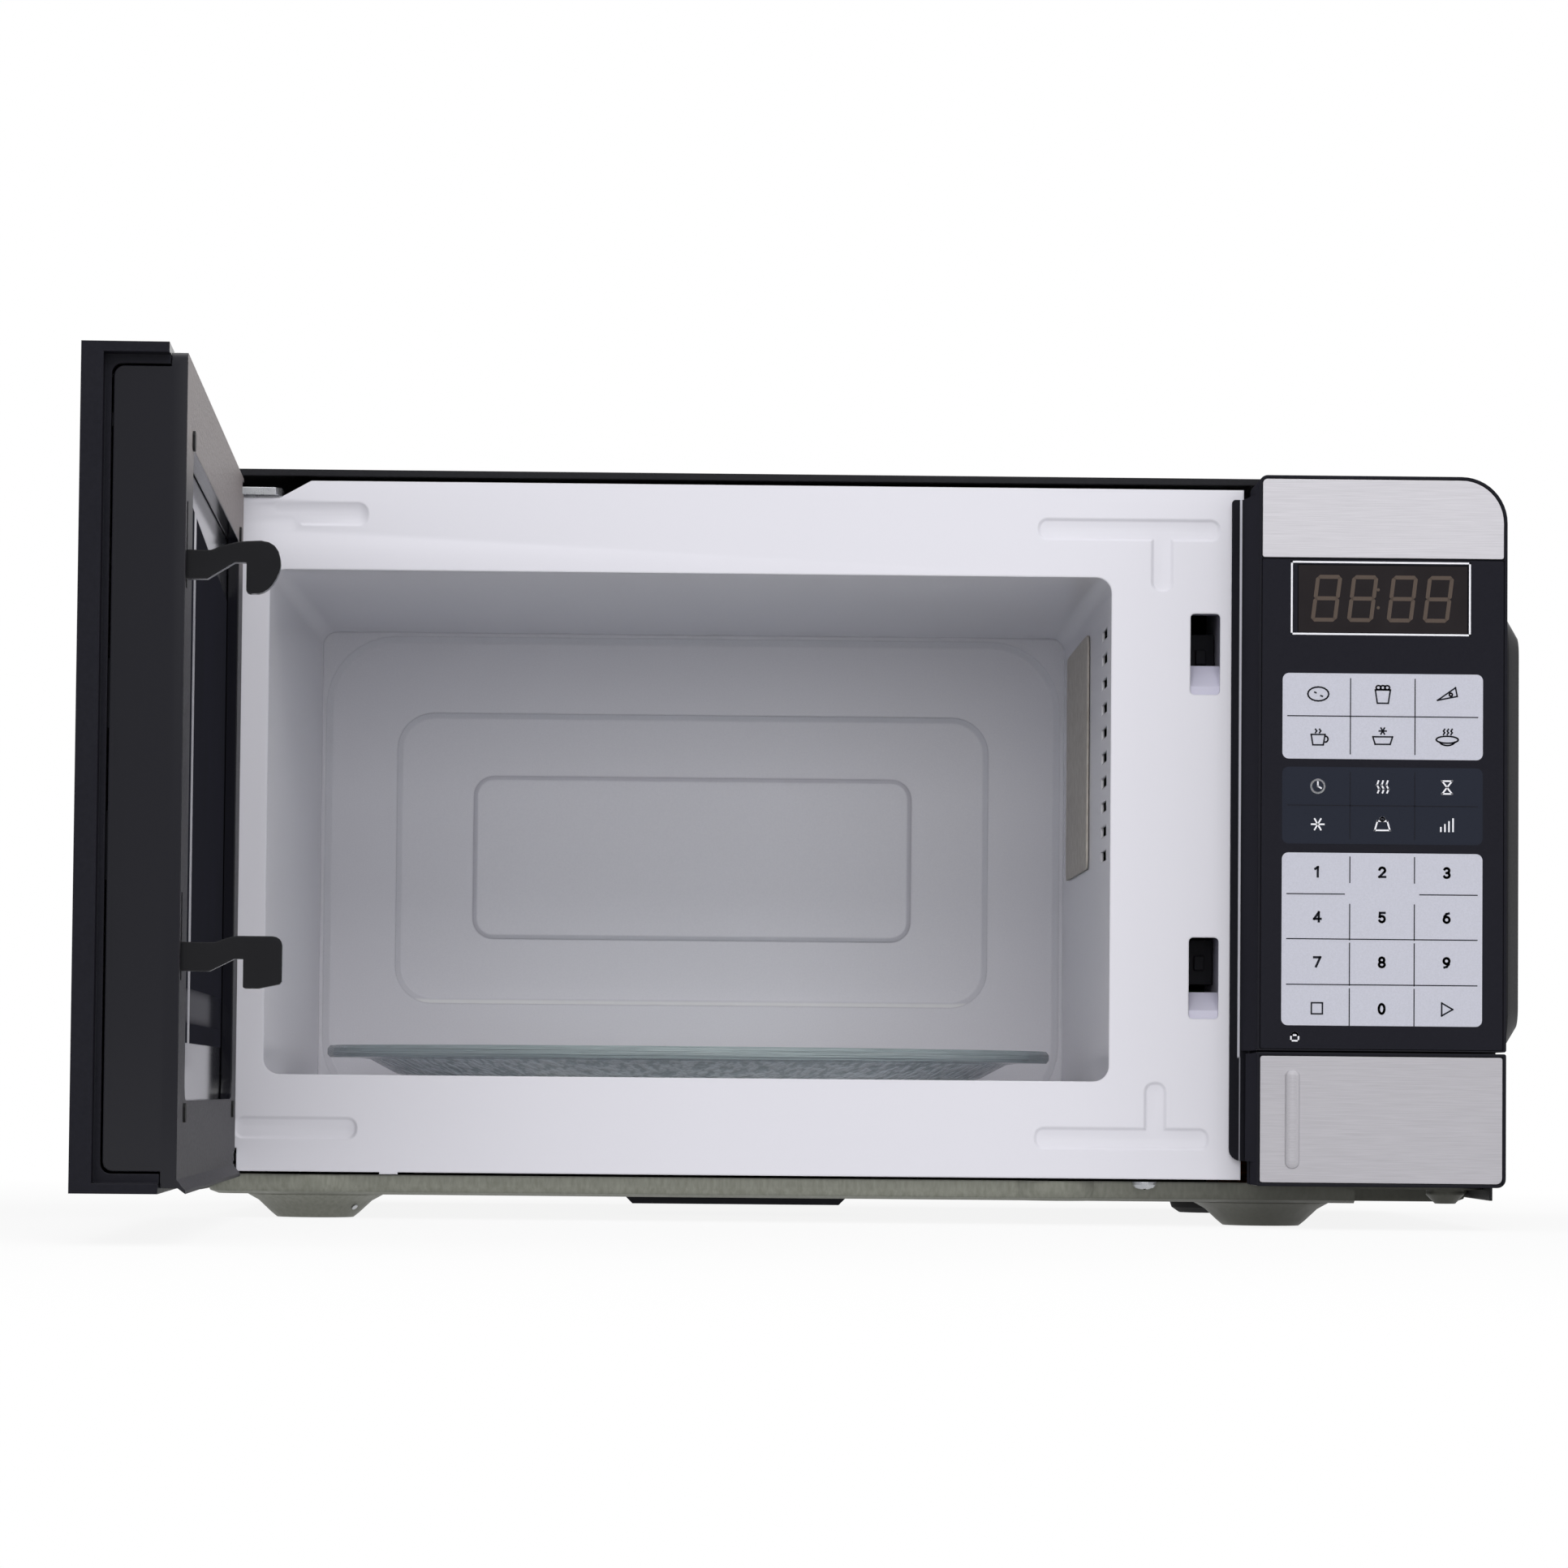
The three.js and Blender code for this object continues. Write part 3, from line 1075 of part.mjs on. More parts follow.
function buildElectronics() {
  const back = boardY + 1.6;
  const board = box(panelLeft + 5, caseRight - 5, boardY, back, keypadBottom + 14, bandBottom + 8);
  // Components by their place from the panel's left edge and the keypad's lower edge.
  const block = (x0, x1, z0, z1, depth) => box(
    panelLeft + x0, panelLeft + x1, back - 0.1, back + depth, keypadBottom + z0, keypadBottom + z1);
  const can = (x, z, radius, depth) => rod(
    'xz', panelLeft + x, keypadBottom + z, radius, back - 0.1, back + depth, 12);
  const parts = [
    block(12, 34, 20, 50, 16.4), // transformer
    block(42, 58, 20, 36, 12.4), // relays
    block(61, 77, 20, 36, 12.4),
    block(22, 58, 74, 84, 3.4), // processor
    can(66, 62, 6, 17.4),
    can(50, 58, 4, 11.4),
    can(70, 104, 5, 7.4), // buzzer
  ];
  piece('control_board', joined(board, ...parts), 'board');
  piece('display_module', box(displayX[0] + 0.6, displayX[1] - 0.6, frontY + 2.4 + gap, boardY - gap,
    displayZ[0] + 0.6, displayZ[1] - 0.6), 'plasticBlack');
}

function buildButton() {
  const slide = new THREE.Group();
  slide.name = 'button_slide';
  oven.add(slide);
  const rear = frontY + capDepth;
  const outline = (inset) => roundedRect(
    panelLeft + inset, caseRight - inset, frontBottom + inset, buttonTop - inset,
    [0.8, Math.max(cornerRadius - inset, 0.8), 0.8, 0.8]);
  const cap = prism(outline(0), 'xz', frontY, rear, { segments: 3 });
  const hollow = prism(outline(moulding), 'xz', frontY + moulding + 0.4, rear + through, { segments: 3 });
  const draft = prism(polygon([
    [panelLeft + 0.5, frontY + 7], [panelLeft - 1.7, rear], [panelLeft + 0.5, rear],
  ]), 'xy', frontBottom + 8.2, buttonTop - 0.4);
  const x0 = panelLeft + bandMargin;
  const x1 = caseRight - bandMargin;
  const recess = box(x0 - gap, x1 + gap, frontY - through, frontY + trimThickness + gap,
    frontBottom + bandMargin - gap, buttonTop - bandMargin + gap);
  const tip = leverFace - gap;
  const post = prism(polygon([
    [frontY + moulding, plungerZ[0]], [plungerRise[1], plungerZ[0]], [plungerRise[1], padTop - 5],
    [tip - 4, padTop - 5], [tip, padTop - 2], [tip, padTop], [plungerRise[0], padTop],
    [plungerRise[0], plungerZ[1]], [frontY + moulding, plungerZ[1]],
  ]), 'yz', ...plungerX);
  piece('door_button', joined(cut(cap, hollow, recess), draft, post), 'plasticBlack', slide);

  const ribX = [x0 + 8.6, x0 + 13.6];
  const plate = joined(
    prism(roundedRect(x0, x1, frontBottom + bandMargin, buttonTop - bandMargin, [0.8, 2, 0.8, 0.8]), 'xz',
      frontY, frontY + trimThickness, { segments: 2 }),
    prism(roundedRect(...ribX, frontBottom + 6, buttonTop - 6, 2.3), 'xz', frontY - 1.1, frontY + 1.1,
      { segments: 3, bevel: [2.1, 1.1], bevelSteps: 3 }));
  piece('button_plate', plate, 'stainless', slide);
}

// ---------------------------------------------------------------- machine compartment
const bayLeft = cavitySide + sheet + gap;
const tubeY = waveguideY[1] - 30; // axis of the magnetron
const tubeZ = (waveguideZ[0] + waveguideZ[1]) / 2;

function buildMicrowaveSource() {
  const right = bayLeft + 20;
  const y = [waveguideY[0] - 4, waveguideY[1] + 8];
  const z = [waveguideZ[0] + 4, waveguideZ[1] - 4];
  const mouth = box(bayLeft - 1, right - sheet, y[0] + sheet, y[1] - sheet, z[0] + sheet, z[1] - sheet);
  const tube = cut(box(bayLeft, right, ...y, ...z), rod('yz', tubeY, tubeZ, 12, right - 5, right + 5, 16));
  const flange = box(bayLeft, bayLeft + sheet, y[0] - 8, y[1] + 8, z[0] - 6, z[1] + 6);
  piece('waveguide', cut(joined(tube, flange), mouth), 'galvanised');

  const yoke = { x: right + gap, width: 58, wall: 4, halfDepth: 44, halfHeight: 47, frame: 6 };
  const block = (x0, x1, halfDepth, halfHeight) => box(
    yoke.x + x0, yoke.x + x1, tubeY - halfDepth, tubeY + halfDepth, tubeZ - halfHeight, tubeZ + halfHeight);
  const round = (radius, x0, x1) => rod('yz', tubeY, tubeZ, radius, yoke.x + x0, yoke.x + x1, 16);
  const frame = cut(
    block(0, yoke.width, yoke.halfDepth, yoke.halfHeight),
    block(yoke.wall, yoke.width - yoke.wall, yoke.halfDepth + 1, yoke.halfHeight - yoke.frame));
  const fins = [];
  for (let i = 0; i < 5; i += 1) {
    const x = 12 + i * 8;
    fins.push(block(x, x + 1, yoke.halfDepth - 4, yoke.halfHeight - 5));
  }
  const anode = round(19, 1, yoke.width - 1);
  const antenna = round(9, -13, 3);
  const filterBox = block(yoke.width - 2, yoke.width + 34, 20, 20);
  piece('magnetron', joined(frame, anode, antenna, filterBox, ...fins), 'steel');
}

function buildPowerSupply() {
  const base = panUnder + sheet + gap;
  const core = { x: [bayLeft + 44, caseRight - 14.2], y: [78, 132], z: [base, base + 74] };
  const window = (x) => box(x, x + 16, core.y[0] - 1, core.y[1] + 1, core.z[0] + 14, core.z[1] - 14);
  const stack = cut(box(...core.x, ...core.y, ...core.z), window(core.x[0] + 12), window(core.x[1] - 28));
  const foot = box(core.x[0] - 6, core.x[1] + 6, core.y[0] + 8, core.y[1] - 8, base, base + 2.4);
  const coil = prism(
    roundedRect(core.x[0] + 11, core.x[1] - 11, core.y[0] - 16, core.y[1] + 16, 8),
    'xy', core.z[0] + 15, core.z[1] - 15);
  piece('transformer', joined(stack, foot, coil), 'copper');

  // Oval can of the capacitor and the strap that holds it down.
  const can = { x: [caseRight - 66.2, caseRight - 14.2], z: [base + 2, base + 34], y: [166, 246] };
  const oval = (grow, y0, y1, options) => prism(
    roundedRect(can.x[0] - grow, can.x[1] + grow, can.z[0] - grow, can.z[1] + grow, 15.9 + grow / 2),
    'xz', y0, y1, options);
  const tabs = [can.x[0] + 16, can.x[1] - 16].map((x) => box(
    x - 3, x + 3, can.y[0] - 6, can.y[0] + 2, base + 17, base + 18));
  const strapY = [200, 212];
  const strap = cut(oval(2, ...strapY), oval(gap, strapY[0] - 1, strapY[1] + 1));
  const strapFoot = box(can.x[0] - 12, can.x[0] + 24, ...strapY, base, base + 1.5);
  piece('capacitor', joined(oval(0, ...can.y, { bevel: [1.2, 1.2] }), ...tabs), 'steel');
  piece('capacitor_strap', joined(strap, strapFoot), 'galvanised');

  // Filter board on two posts of the back panel.
  const boardRear = caseDepth - 22.4;
  const left = bayLeft + 11;
  const rear = caseDepth - sheet - 2 * gap;
  const post = (x, z) => rod('xz', left + x, base + z, 2.4, boardRear - 0.6, rear, 8);
  const filter = joined(
    box(left, left + 46, boardRear - 1.6, boardRear, base + 14, base + 78),
    box(left + 6, left + 20, boardRear - 21.6, boardRear - 1, base + 20, base + 44),
    box(left + 24, left + 40, boardRear - 15.6, boardRear - 1, base + 24, base + 40),
    post(4, 18),
    post(42, 74));
  piece('filter_board', filter, 'board');
}

function buildCooling() {
  const rear = caseDepth - sheet - 2 * gap;
  const face = rear - 30; // front of the shroud
  const ring = (radius, y0, y1) => prism(circle(fanX, fanZ, radius), 'xz', y0, y1, { segments: 16 });
  const disc = (radius, y0, y1, sides = 12) => rod('xz', fanX, fanZ, radius, y0, y1, sides);
  const plate = box(fanX - 54, fanX + 54, rear - 2.4, rear, fanZ - 56, fanZ + 56);
  const shroud = cut(joined(plate, ring(fanRadius + 5, face, rear - 1)),
    ring(fanRadius + 2.6, face - 4, rear + 4));
  const spider = [];
  for (let i = 0; i < 3; i += 1) {
    const arm = box(0, fanRadius + 3.5, face, face + 3, -3, 3);
    spider.push(arm.rotate([0, i * 120, 0]).translate([fanX, 0, fanZ]));
  }
  const centre = cut(joined(...spider, disc(17, face, face + 3)), disc(4, face - 10, face + 10));
  piece('fan_shroud', joined(shroud, centre), 'plasticBlack');

  const shaftRadius = 1.8;
  const motor = joined(
    box(fanX - 14, fanX + 14, face - 14, face - gap, fanZ - 14, fanZ + 26),
    disc(12, face - 20, face - 13, 16),
    disc(shaftRadius, face - 1, face + 18));
  piece('fan_motor', motor, 'steel');

  const spin = new THREE.Group();
  spin.name = 'fan_axis';
  spin.position.set(fanX, 0, fanZ);
  oven.add(spin);
  const bladeY = [face + 6, face + 22];
  const hubDisc = cut(disc(13, ...bladeY, 16), disc(shaftRadius + gap, face - 10, face + 20));
  const blades = [];
  for (let i = 0; i < bladeCount; i += 1) {
    const outline = new THREE.Shape();
    outline.moveTo(10, -2.5);
    outline.quadraticCurveTo(30, -10, fanRadius, -13);
    outline.lineTo(fanRadius - 1, 11);
    outline.quadraticCurveTo(30, 8, 10, 4);
    blades.push(prism(outline, 'xz', -0.8, 0.8, { segments: 3 })
      .rotate([28, 0, 0])
      .rotate([0, i * 360 / bladeCount, 0])
      .translate([fanX, (bladeY[0] + bladeY[1]) / 2, fanZ]));
  }
  const swept = ring(fanRadius, bladeY[0] - 4, bladeY[1] + 4);
  piece('fan_blade', joined(hubDisc, ...blades).intersect(swept), 'whitePlastic', spin, [fanX, 0, fanZ]);

  // Duct that leads the air past the lamp to the vents of the cavity wall.
  const wall = 1.6;
  const duct = {
    x: [bayLeft, bayLeft + 18],
    y: [ventColumnY[0] - 4, waveguideY[0] - 14],
    z: [ventFirst - 8, openingTop - 11],
  };
  const lampX = bayLeft + 9;
  const lampY = 70;
  const lampRod = (radius, z0, z1) => rod('xy', lampX, lampY, radius, duct.z[1] + z0, duct.z[1] + z1, 12);
  const channel = cut(
    box(...duct.x, ...duct.y, ...duct.z),
    box(duct.x[0] - 1, duct.x[1] - wall, duct.y[0] + wall, duct.y[1] + 1, duct.z[0] + wall, duct.z[1] - wall),
    lampRod(8.4, -5, 5));
  piece('air_duct', channel, 'plasticBlack');

  const lampBase = joined(
    box(...duct.x, lampY - 14, lampY + 14, duct.z[1] + gap, duct.z[1] + 3),
    lampRod(8, 1, 15));
  piece('lamp_holder', lampBase, 'whitePlastic');
  const bulb = turned([
    [0, -30], [4, -28.6], [6.6, -25], [6.6, -12], [5, -4], [5, 0], [0, 0],
  ], lampX, lampY, 14).translate([0, 0, duct.z[1]]);
  piece('lamp_bulb', bulb, 'tealGlass');

  const cutoutY = waveguideY[1] + 32;
  const cutoutZ = ventFirst + 19.5;
  const cutout = joined(
    rod('yz', cutoutY, cutoutZ, 8, bayLeft, bayLeft + 9, 14),
    box(bayLeft, bayLeft + 1.4, cutoutY - 12, cutoutY + 12, cutoutZ - 4, cutoutZ + 4));
  piece('thermal_cutout', cutout, 'plasticBlack');
}

// ---------------------------------------------------------------- assembly
buildWrapper();
buildPan();
buildUnderside();
buildBackPanel();
buildFrontPlate();
buildCavity();
buildTurntable();
buildRollerRing();
buildDoorFrame();
buildDoorFront();
buildChokePanel();
buildChokeCover();
buildHingePins();
buildLatch();
buildHinges();
buildInterlock();
buildPanelFrame();
buildElectronics();
buildButton();
buildMicrowaveSource();
buildPowerSupply();
buildCooling();

// The model's origin is the middle of the underside of the whole, door open.
const bounds = new THREE.Box3().setFromObject(oven, true);
const middle = bounds.getCenter(new THREE.Vector3());
oven.position.set(-middle.x, -middle.y, -bounds.min.z);
const group = new THREE.Group();
group.add(oven);
group.updateMatrixWorld(true);

export default group;
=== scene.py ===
"""Countertop microwave oven, door held open.

Materials, keypad print, fixings, latch spring, light and camera over the CAD model.
"""

import json
import math

import bmesh
import bpy
from mathutils import Matrix, Vector


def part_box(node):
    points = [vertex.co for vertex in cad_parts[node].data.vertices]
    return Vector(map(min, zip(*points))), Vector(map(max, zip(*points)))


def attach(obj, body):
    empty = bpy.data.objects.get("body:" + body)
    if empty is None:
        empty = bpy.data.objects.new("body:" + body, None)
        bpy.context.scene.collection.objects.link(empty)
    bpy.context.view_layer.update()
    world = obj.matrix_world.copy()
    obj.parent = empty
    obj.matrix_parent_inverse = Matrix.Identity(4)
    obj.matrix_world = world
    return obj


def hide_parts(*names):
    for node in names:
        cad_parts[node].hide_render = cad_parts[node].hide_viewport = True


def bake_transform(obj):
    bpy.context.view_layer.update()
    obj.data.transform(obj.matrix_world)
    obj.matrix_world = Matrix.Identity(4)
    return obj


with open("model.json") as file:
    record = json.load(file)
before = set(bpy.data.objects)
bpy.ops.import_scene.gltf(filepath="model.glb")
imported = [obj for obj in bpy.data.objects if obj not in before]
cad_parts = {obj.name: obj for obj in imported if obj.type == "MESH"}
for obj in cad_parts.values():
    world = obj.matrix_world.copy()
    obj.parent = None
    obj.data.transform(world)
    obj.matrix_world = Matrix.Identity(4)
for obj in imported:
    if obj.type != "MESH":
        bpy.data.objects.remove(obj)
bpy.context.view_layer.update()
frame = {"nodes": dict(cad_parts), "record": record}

MM = 0.001
scene = bpy.context.scene
scene.view_settings.view_transform = "Standard"


# ------------------------------------------------------------------ places, all taken from the frame
PLATE_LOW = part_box("front_plate")[0]
CAVITY_LOW, CAVITY_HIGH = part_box("cavity_shell")
PAN_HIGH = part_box("base_pan")[1]
KEYPAD_LOW, KEYPAD_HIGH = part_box("membrane_keypad")
WINDOW_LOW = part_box("display_window")[0]
BACK_LOW, BACK_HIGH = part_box("back_panel")

# middle of the cavity's width, on the front plate, on the floor
ORIGIN = Vector(((CAVITY_LOW.x + CAVITY_HIGH.x) / 2, PLATE_LOW.y, 0))


def srgb(red, green, blue):
    """Linear colour of an 8-bit display colour."""
    def linear(value):
        value /= 255
        return value / 12.92 if value <= 0.04045 else ((value + 0.055) / 1.055) ** 2.4
    return (linear(red), linear(green), linear(blue), 1.0)


# ------------------------------------------------------------------ materials
def local_box(name):
    """Lowest and highest corner of a node in its own object coordinates."""
    corners = [vertex.co for vertex in frame["nodes"][name].data.vertices]
    return (Vector([min(corner[axis] for corner in corners) for axis in range(3)]),
            Vector([max(corner[axis] for corner in corners) for axis in range(3)]))


class Finish:
    """A principled material in object coordinates, with helpers for grain, tint and rounded edges."""

    def __init__(self, name, colour, roughness, metallic=0.0, **sockets):
        self.material = bpy.data.materials.new(name)
        self.material.use_nodes = True
        self.nodes = self.material.node_tree.nodes
        self.links = self.material.node_tree.links
        self.shader = self.nodes["Principled BSDF"]
        self.shader.inputs["Base Color"].default_value = colour
        self.shader.inputs["Roughness"].default_value = roughness
        self.shader.inputs["Metallic"].default_value = metallic
        for socket, value in sockets.items():
            self.shader.inputs[socket.replace("_", " ")].default_value = value
        self.colour = colour
        coordinates = self.nodes.new("ShaderNodeTexCoord")
        self.place = coordinates.outputs["Object"]
        self.object_normal = coordinates.outputs["Normal"]

    def stretched(self, scale):
        """Object coordinates scaled per axis."""
        mapping = self.nodes.new("ShaderNodeMapping")
        mapping.inputs["Scale"].default_value = scale
        self.links.new(self.place, mapping.inputs["Vector"])
        return mapping.outputs["Vector"]

    def noise(self, scale, detail=3.0, stretch=None):
        """Value noise; stretch scales the axes before it."""
        texture = self.nodes.new("ShaderNodeTexNoise")
        texture.inputs["Scale"].default_value = scale
        texture.inputs["Detail"].default_value = detail
        self.links.new(self.stretched(stretch) if stretch else self.place, texture.inputs["Vector"])
        return texture.outputs["Fac"]

    def ramp(self, source, low, high, start=0.3, end=0.7):
        """Maps a factor to a range of values."""
        node = self.nodes.new("ShaderNodeMapRange")
        node.inputs["From Min"].default_value = start
        node.inputs["From Max"].default_value = end
        node.inputs["To Min"].default_value = low
        node.inputs["To Max"].default_value = high
        self.links.new(source, node.inputs["Value"])
        return node.outputs["Result"]

    def tint(self, source, other, amount):
        """Base colour moves toward another colour where the factor is high."""
        return self.blend(self.ramp(source, 0.0, amount), other)

    def blend(self, factor, other):
        """Base colour, as it stands, mixed with another colour by a factor from 0 to 1."""
        mix = self.nodes.new("ShaderNodeMix")
        mix.data_type = "RGBA"
        base = self.shader.inputs["Base Color"]
        if base.is_linked:
            self.links.new(base.links[0].from_socket, mix.inputs[6])
        else:
            mix.inputs[6].default_value = self.colour
        mix.inputs[7].default_value = other
        self.links.new(factor, mix.inputs[0])
        self.links.new(mix.outputs[2], base)
        return self

    def gloss(self, source, low, high):
        """Roughness varies between two values."""
        self.links.new(self.ramp(source, low, high), self.shader.inputs["Roughness"])
        return self

    def relief(self, source, height, strength=1.0, edge=0.0):
        """Bump of a height in metres, over an optional rounded edge of a radius in metres."""
        bump = self.nodes.new("ShaderNodeBump")
        bump.inputs["Strength"].default_value = strength
        bump.inputs["Distance"].default_value = height
        self.links.new(source, bump.inputs["Height"])
        if edge:
            self.links.new(self.rounded(edge), bump.inputs["Normal"])
        self.links.new(bump.outputs["Normal"], self.shader.inputs["Normal"])
        return self

    def facing(self, axis):
        """1 on faces that look along an object axis, 0 elsewhere."""
        parts = self.nodes.new("ShaderNodeSeparateXYZ")
        size = self.nodes.new("ShaderNodeMath")
        size.operation = "ABSOLUTE"
        over = self.nodes.new("ShaderNodeMath")
        over.operation = "GREATER_THAN"
        over.inputs[1].default_value = 0.7
        self.links.new(self.object_normal, parts.inputs["Vector"])
        self.links.new(parts.outputs[axis], size.inputs[0])
        self.links.new(size.outputs["Value"], over.inputs[0])
        return over.outputs["Value"]

    def toward(self, axis, start, end):
        """Factor that runs from 0 to 1 as the object normal's part along an axis goes from start to end."""
        parts = self.nodes.new("ShaderNodeSeparateXYZ")
        self.links.new(self.object_normal, parts.inputs["Vector"])
        return self.ramp(parts.outputs[axis], 0.0, 1.0, start, end)

    def along(self, axis, start, end, low=0.0, high=1.0):
        """Factor that runs from low to high between two object coordinates of an axis."""
        parts = self.nodes.new("ShaderNodeSeparateXYZ")
        self.links.new(self.place, parts.inputs["Vector"])
        return self.ramp(parts.outputs[axis], low, high, start, end)

    def between(self, axis, low, high, fade_in, fade_out=None):
        """1 between two object coordinates of an axis, with a fade inside each."""
        rise = self.along(axis, low, low + fade_in)
        fall = self.along(axis, high, high - (fade_out or fade_in))
        return self.times(rise, fall)

    def drive(self, socket, source, low=0.0, high=1.0, start=0.0, end=1.0):
        """A shader socket runs from low to high as the factor goes from start to end."""
        self.links.new(self.ramp(source, low, high, start, end), self.shader.inputs[socket])

    def across(self, direction, start, end):
        """Factor that runs from 0 to 1 between two distances along any direction."""
        product = self.nodes.new("ShaderNodeVectorMath")
        product.operation = "DOT_PRODUCT"
        product.inputs[1].default_value = direction
        self.links.new(self.place, product.inputs[0])
        return self.ramp(product.outputs["Value"], 0.0, 1.0, start, end)

    def larger(self, *factors):
        """Largest of some factors."""
        result = factors[0]
        for factor in factors[1:]:
            node = self.nodes.new("ShaderNodeMath")
            node.operation = "MAXIMUM"
            self.links.new(result, node.inputs[0])
            self.links.new(factor, node.inputs[1])
            result = node.outputs["Value"]
        return result

    def times(self, first, second):
        """Product of two factors, or of a factor and a number."""
        product = self.nodes.new("ShaderNodeMath")
        product.operation = "MULTIPLY"
        self.links.new(first, product.inputs[0])
        if isinstance(second, float):
            product.inputs[1].default_value = second
        else:
            self.links.new(second, product.inputs[1])
        return product.outputs["Value"]

    def rounded(self, radius):
        """Normal of an edge rounded by that radius in metres."""
        bevel = self.nodes.new("ShaderNodeBevel")
        bevel.samples = 4
        bevel.inputs["Radius"].default_value = radius
        return bevel.outputs["Normal"]

    def soften(self, radius):
        """Rounded edges and no relief."""
        self.links.new(self.rounded(radius), self.shader.inputs["Normal"])
        return self


def powder_coat():
    finish = Finish("case_black", srgb(22, 22, 26), 0.42, 0.0, Specular_IOR_Level=0.3)
    finish.tint(finish.noise(900, 2), srgb(29, 29, 34), 0.6)
    finish.gloss(finish.noise(1100, 2), 0.4, 0.45)
    return finish.relief(finish.noise(1400, 2), 0.00006, 0.35, edge=0.0006).material


def galvanised():
    """Zinc-coated steel with fine upright streaks, and painted shade low down and toward the control side.
    """
    finish = Finish("galvanised", srgb(158, 159, 149), 0.42, 0.55)
    finish.tint(finish.noise(700, 3, stretch=(1, 1, 0.3)), srgb(136, 138, 127), 0.9)
    # painted shade: darker toward the floor and toward the control side
    finish.blend(finish.along("Z", 12 * MM, 4 * MM, 0.0, 0.5), srgb(92, 93, 85))
    finish.blend(finish.along("X", 60 * MM, 150 * MM, 0.0, 0.85), srgb(66, 66, 61))
    finish.gloss(finish.noise(90, 4), 0.34, 0.46)
    return finish.relief(finish.noise(260, 3), 0.00003, 0.15, edge=0.0012).material


def white_enamel():
    finish = Finish("enamel_white", srgb(222, 221, 229), 0.26)
    finish.tint(finish.noise(2200, 1), srgb(220, 219, 228), 0.5)
    return finish.relief(finish.noise(520, 1), 0.000006, 0.1, edge=0.0009).material


def grey_enamel():
    """Cavity enamel, with a painted highlight along the lower slope of the back's middle step."""
    finish = Finish("cavity_grey", srgb(232, 231, 237), 0.22)
    finish.tint(finish.noise(1600, 2), srgb(226, 225, 232), 0.6)
    low, _ = local_box("cavity_shell")
    # painted highlight: the lower slope of the back's middle step is blended nearly to white
    slope = finish.times(finish.toward("Z", 0.12, 0.4), finish.toward("Y", -0.2, -0.6))
    step = finish.between("Z", low.z + 44.8 * MM, low.z + 47.6 * MM, 0.6 * MM, 1.0 * MM)
    finish.blend(finish.times(finish.times(slope, step), 0.9), srgb(255, 255, 255))
    return finish.relief(finish.noise(900, 2), 0.00001, 0.1, edge=0.001).material


def mica():
    finish = Finish("mica", srgb(206, 200, 192), 0.75)
    finish.tint(finish.noise(300, 5), srgb(180, 173, 163), 0.8)
    return finish.relief(finish.noise(380, 4), 0.00008, 0.4).material


def black_plastic():
    finish = Finish("black_plastic", srgb(16, 16, 24), 0.36, 0.0, Specular_IOR_Level=0.22)
    finish.tint(finish.noise(900, 2), srgb(22, 22, 30), 0.6)
    finish.gloss(finish.noise(50, 2), 0.32, 0.42)
    return finish.relief(finish.noise(2600, 2), 0.00003, 0.3, edge=0.0005).material


def panel_plastic(name, node, highlight_strip):
    """Black plastic whose drafted left side is dull and painted a lighter grey as painted light; the strip
    flag adds painted highlights along that side's foot.
    """
    finish = Finish(name, srgb(16, 16, 24), 0.36, 0.0)
    low = local_box(node)[0]
    finish.tint(finish.noise(900, 2), srgb(22, 22, 30), 0.6)
    # painted light: the drafted side is painted a lighter grey than the rest of the part
    finish.blend(finish.facing("X"), srgb(48, 48, 55))
    finish.gloss(finish.noise(50, 2), 0.32, 0.42)
    finish.drive("Specular IOR Level", finish.facing("X"), 0.22, 0.0)
    if highlight_strip:
        # painted highlights: a bright step beside the keypad, a thin grey line beside the push button
        foot, top = KEYPAD_LOW.z - 3.4 * MM, KEYPAD_LOW.z - 2.6 * MM
        step = finish.between("X", low.x + 2.5 * MM, low.x + 3.5 * MM, 0.2 * MM)
        finish.blend(finish.times(step, finish.along("Z", foot, top)), srgb(202, 202, 212))
        line = finish.between("X", low.x + 3.2 * MM, low.x + 3.7 * MM, 0.1 * MM)
        finish.blend(finish.times(line, finish.along("Z", top, foot)), srgb(140, 140, 148))
    return finish.relief(finish.noise(2600, 2), 0.00003, 0.3, edge=0.0005).material


def grained_plastic():
    """Leather-like grain on the face round the door's window, with a painted sheen high up for light falling
    on the top; the walls are smooth.
    """
    finish = Finish("grained_plastic", srgb(20, 20, 27), 0.5, 0.0)
    high = local_box("door_choke_cover")[1]
    face = finish.facing("X")
    grain = finish.noise(800, 3, stretch=(1, 0.35, 1))
    finish.tint(finish.times(grain, face), srgb(50, 48, 51), 0.9)
    # painted sheen: the sheen is masked to the top of the face, standing in for light falling there
    sheen = finish.times(face, finish.along("Z", high.z - 40 * MM, high.z - 22 * MM, 0.0, 0.2))
    finish.links.new(sheen, finish.shader.inputs["Sheen Weight"])
    finish.shader.inputs["Sheen Roughness"].default_value = 0.35
    finish.shader.inputs["Sheen Tint"].default_value = srgb(255, 240, 238)
    finish.drive("Specular IOR Level", face, 0.5, 0.2)
    finish.drive("Roughness", face, 0.12, 0.5)
    return finish.relief(finish.times(grain, face), 0.0003, 1.0, edge=0.0006).material


def gloss_black():
    finish = Finish("gloss_black", srgb(9, 9, 13), 0.2, 0.0, Specular_IOR_Level=0.4)
    finish.tint(finish.noise(80, 2), srgb(14, 14, 19), 0.6)
    finish.gloss(finish.noise(24, 3), 0.16, 0.26)
    return finish.relief(finish.noise(900, 2), 0.00001, 0.1, edge=0.0006).material


def key_film():
    finish = Finish("key_film", srgb(23, 23, 31), 0.34, 0.0, Specular_IOR_Level=0.16)
    finish.tint(finish.noise(1400, 1), srgb(26, 26, 34), 0.6)
    return finish.gloss(finish.noise(1400, 1), 0.3, 0.34).material


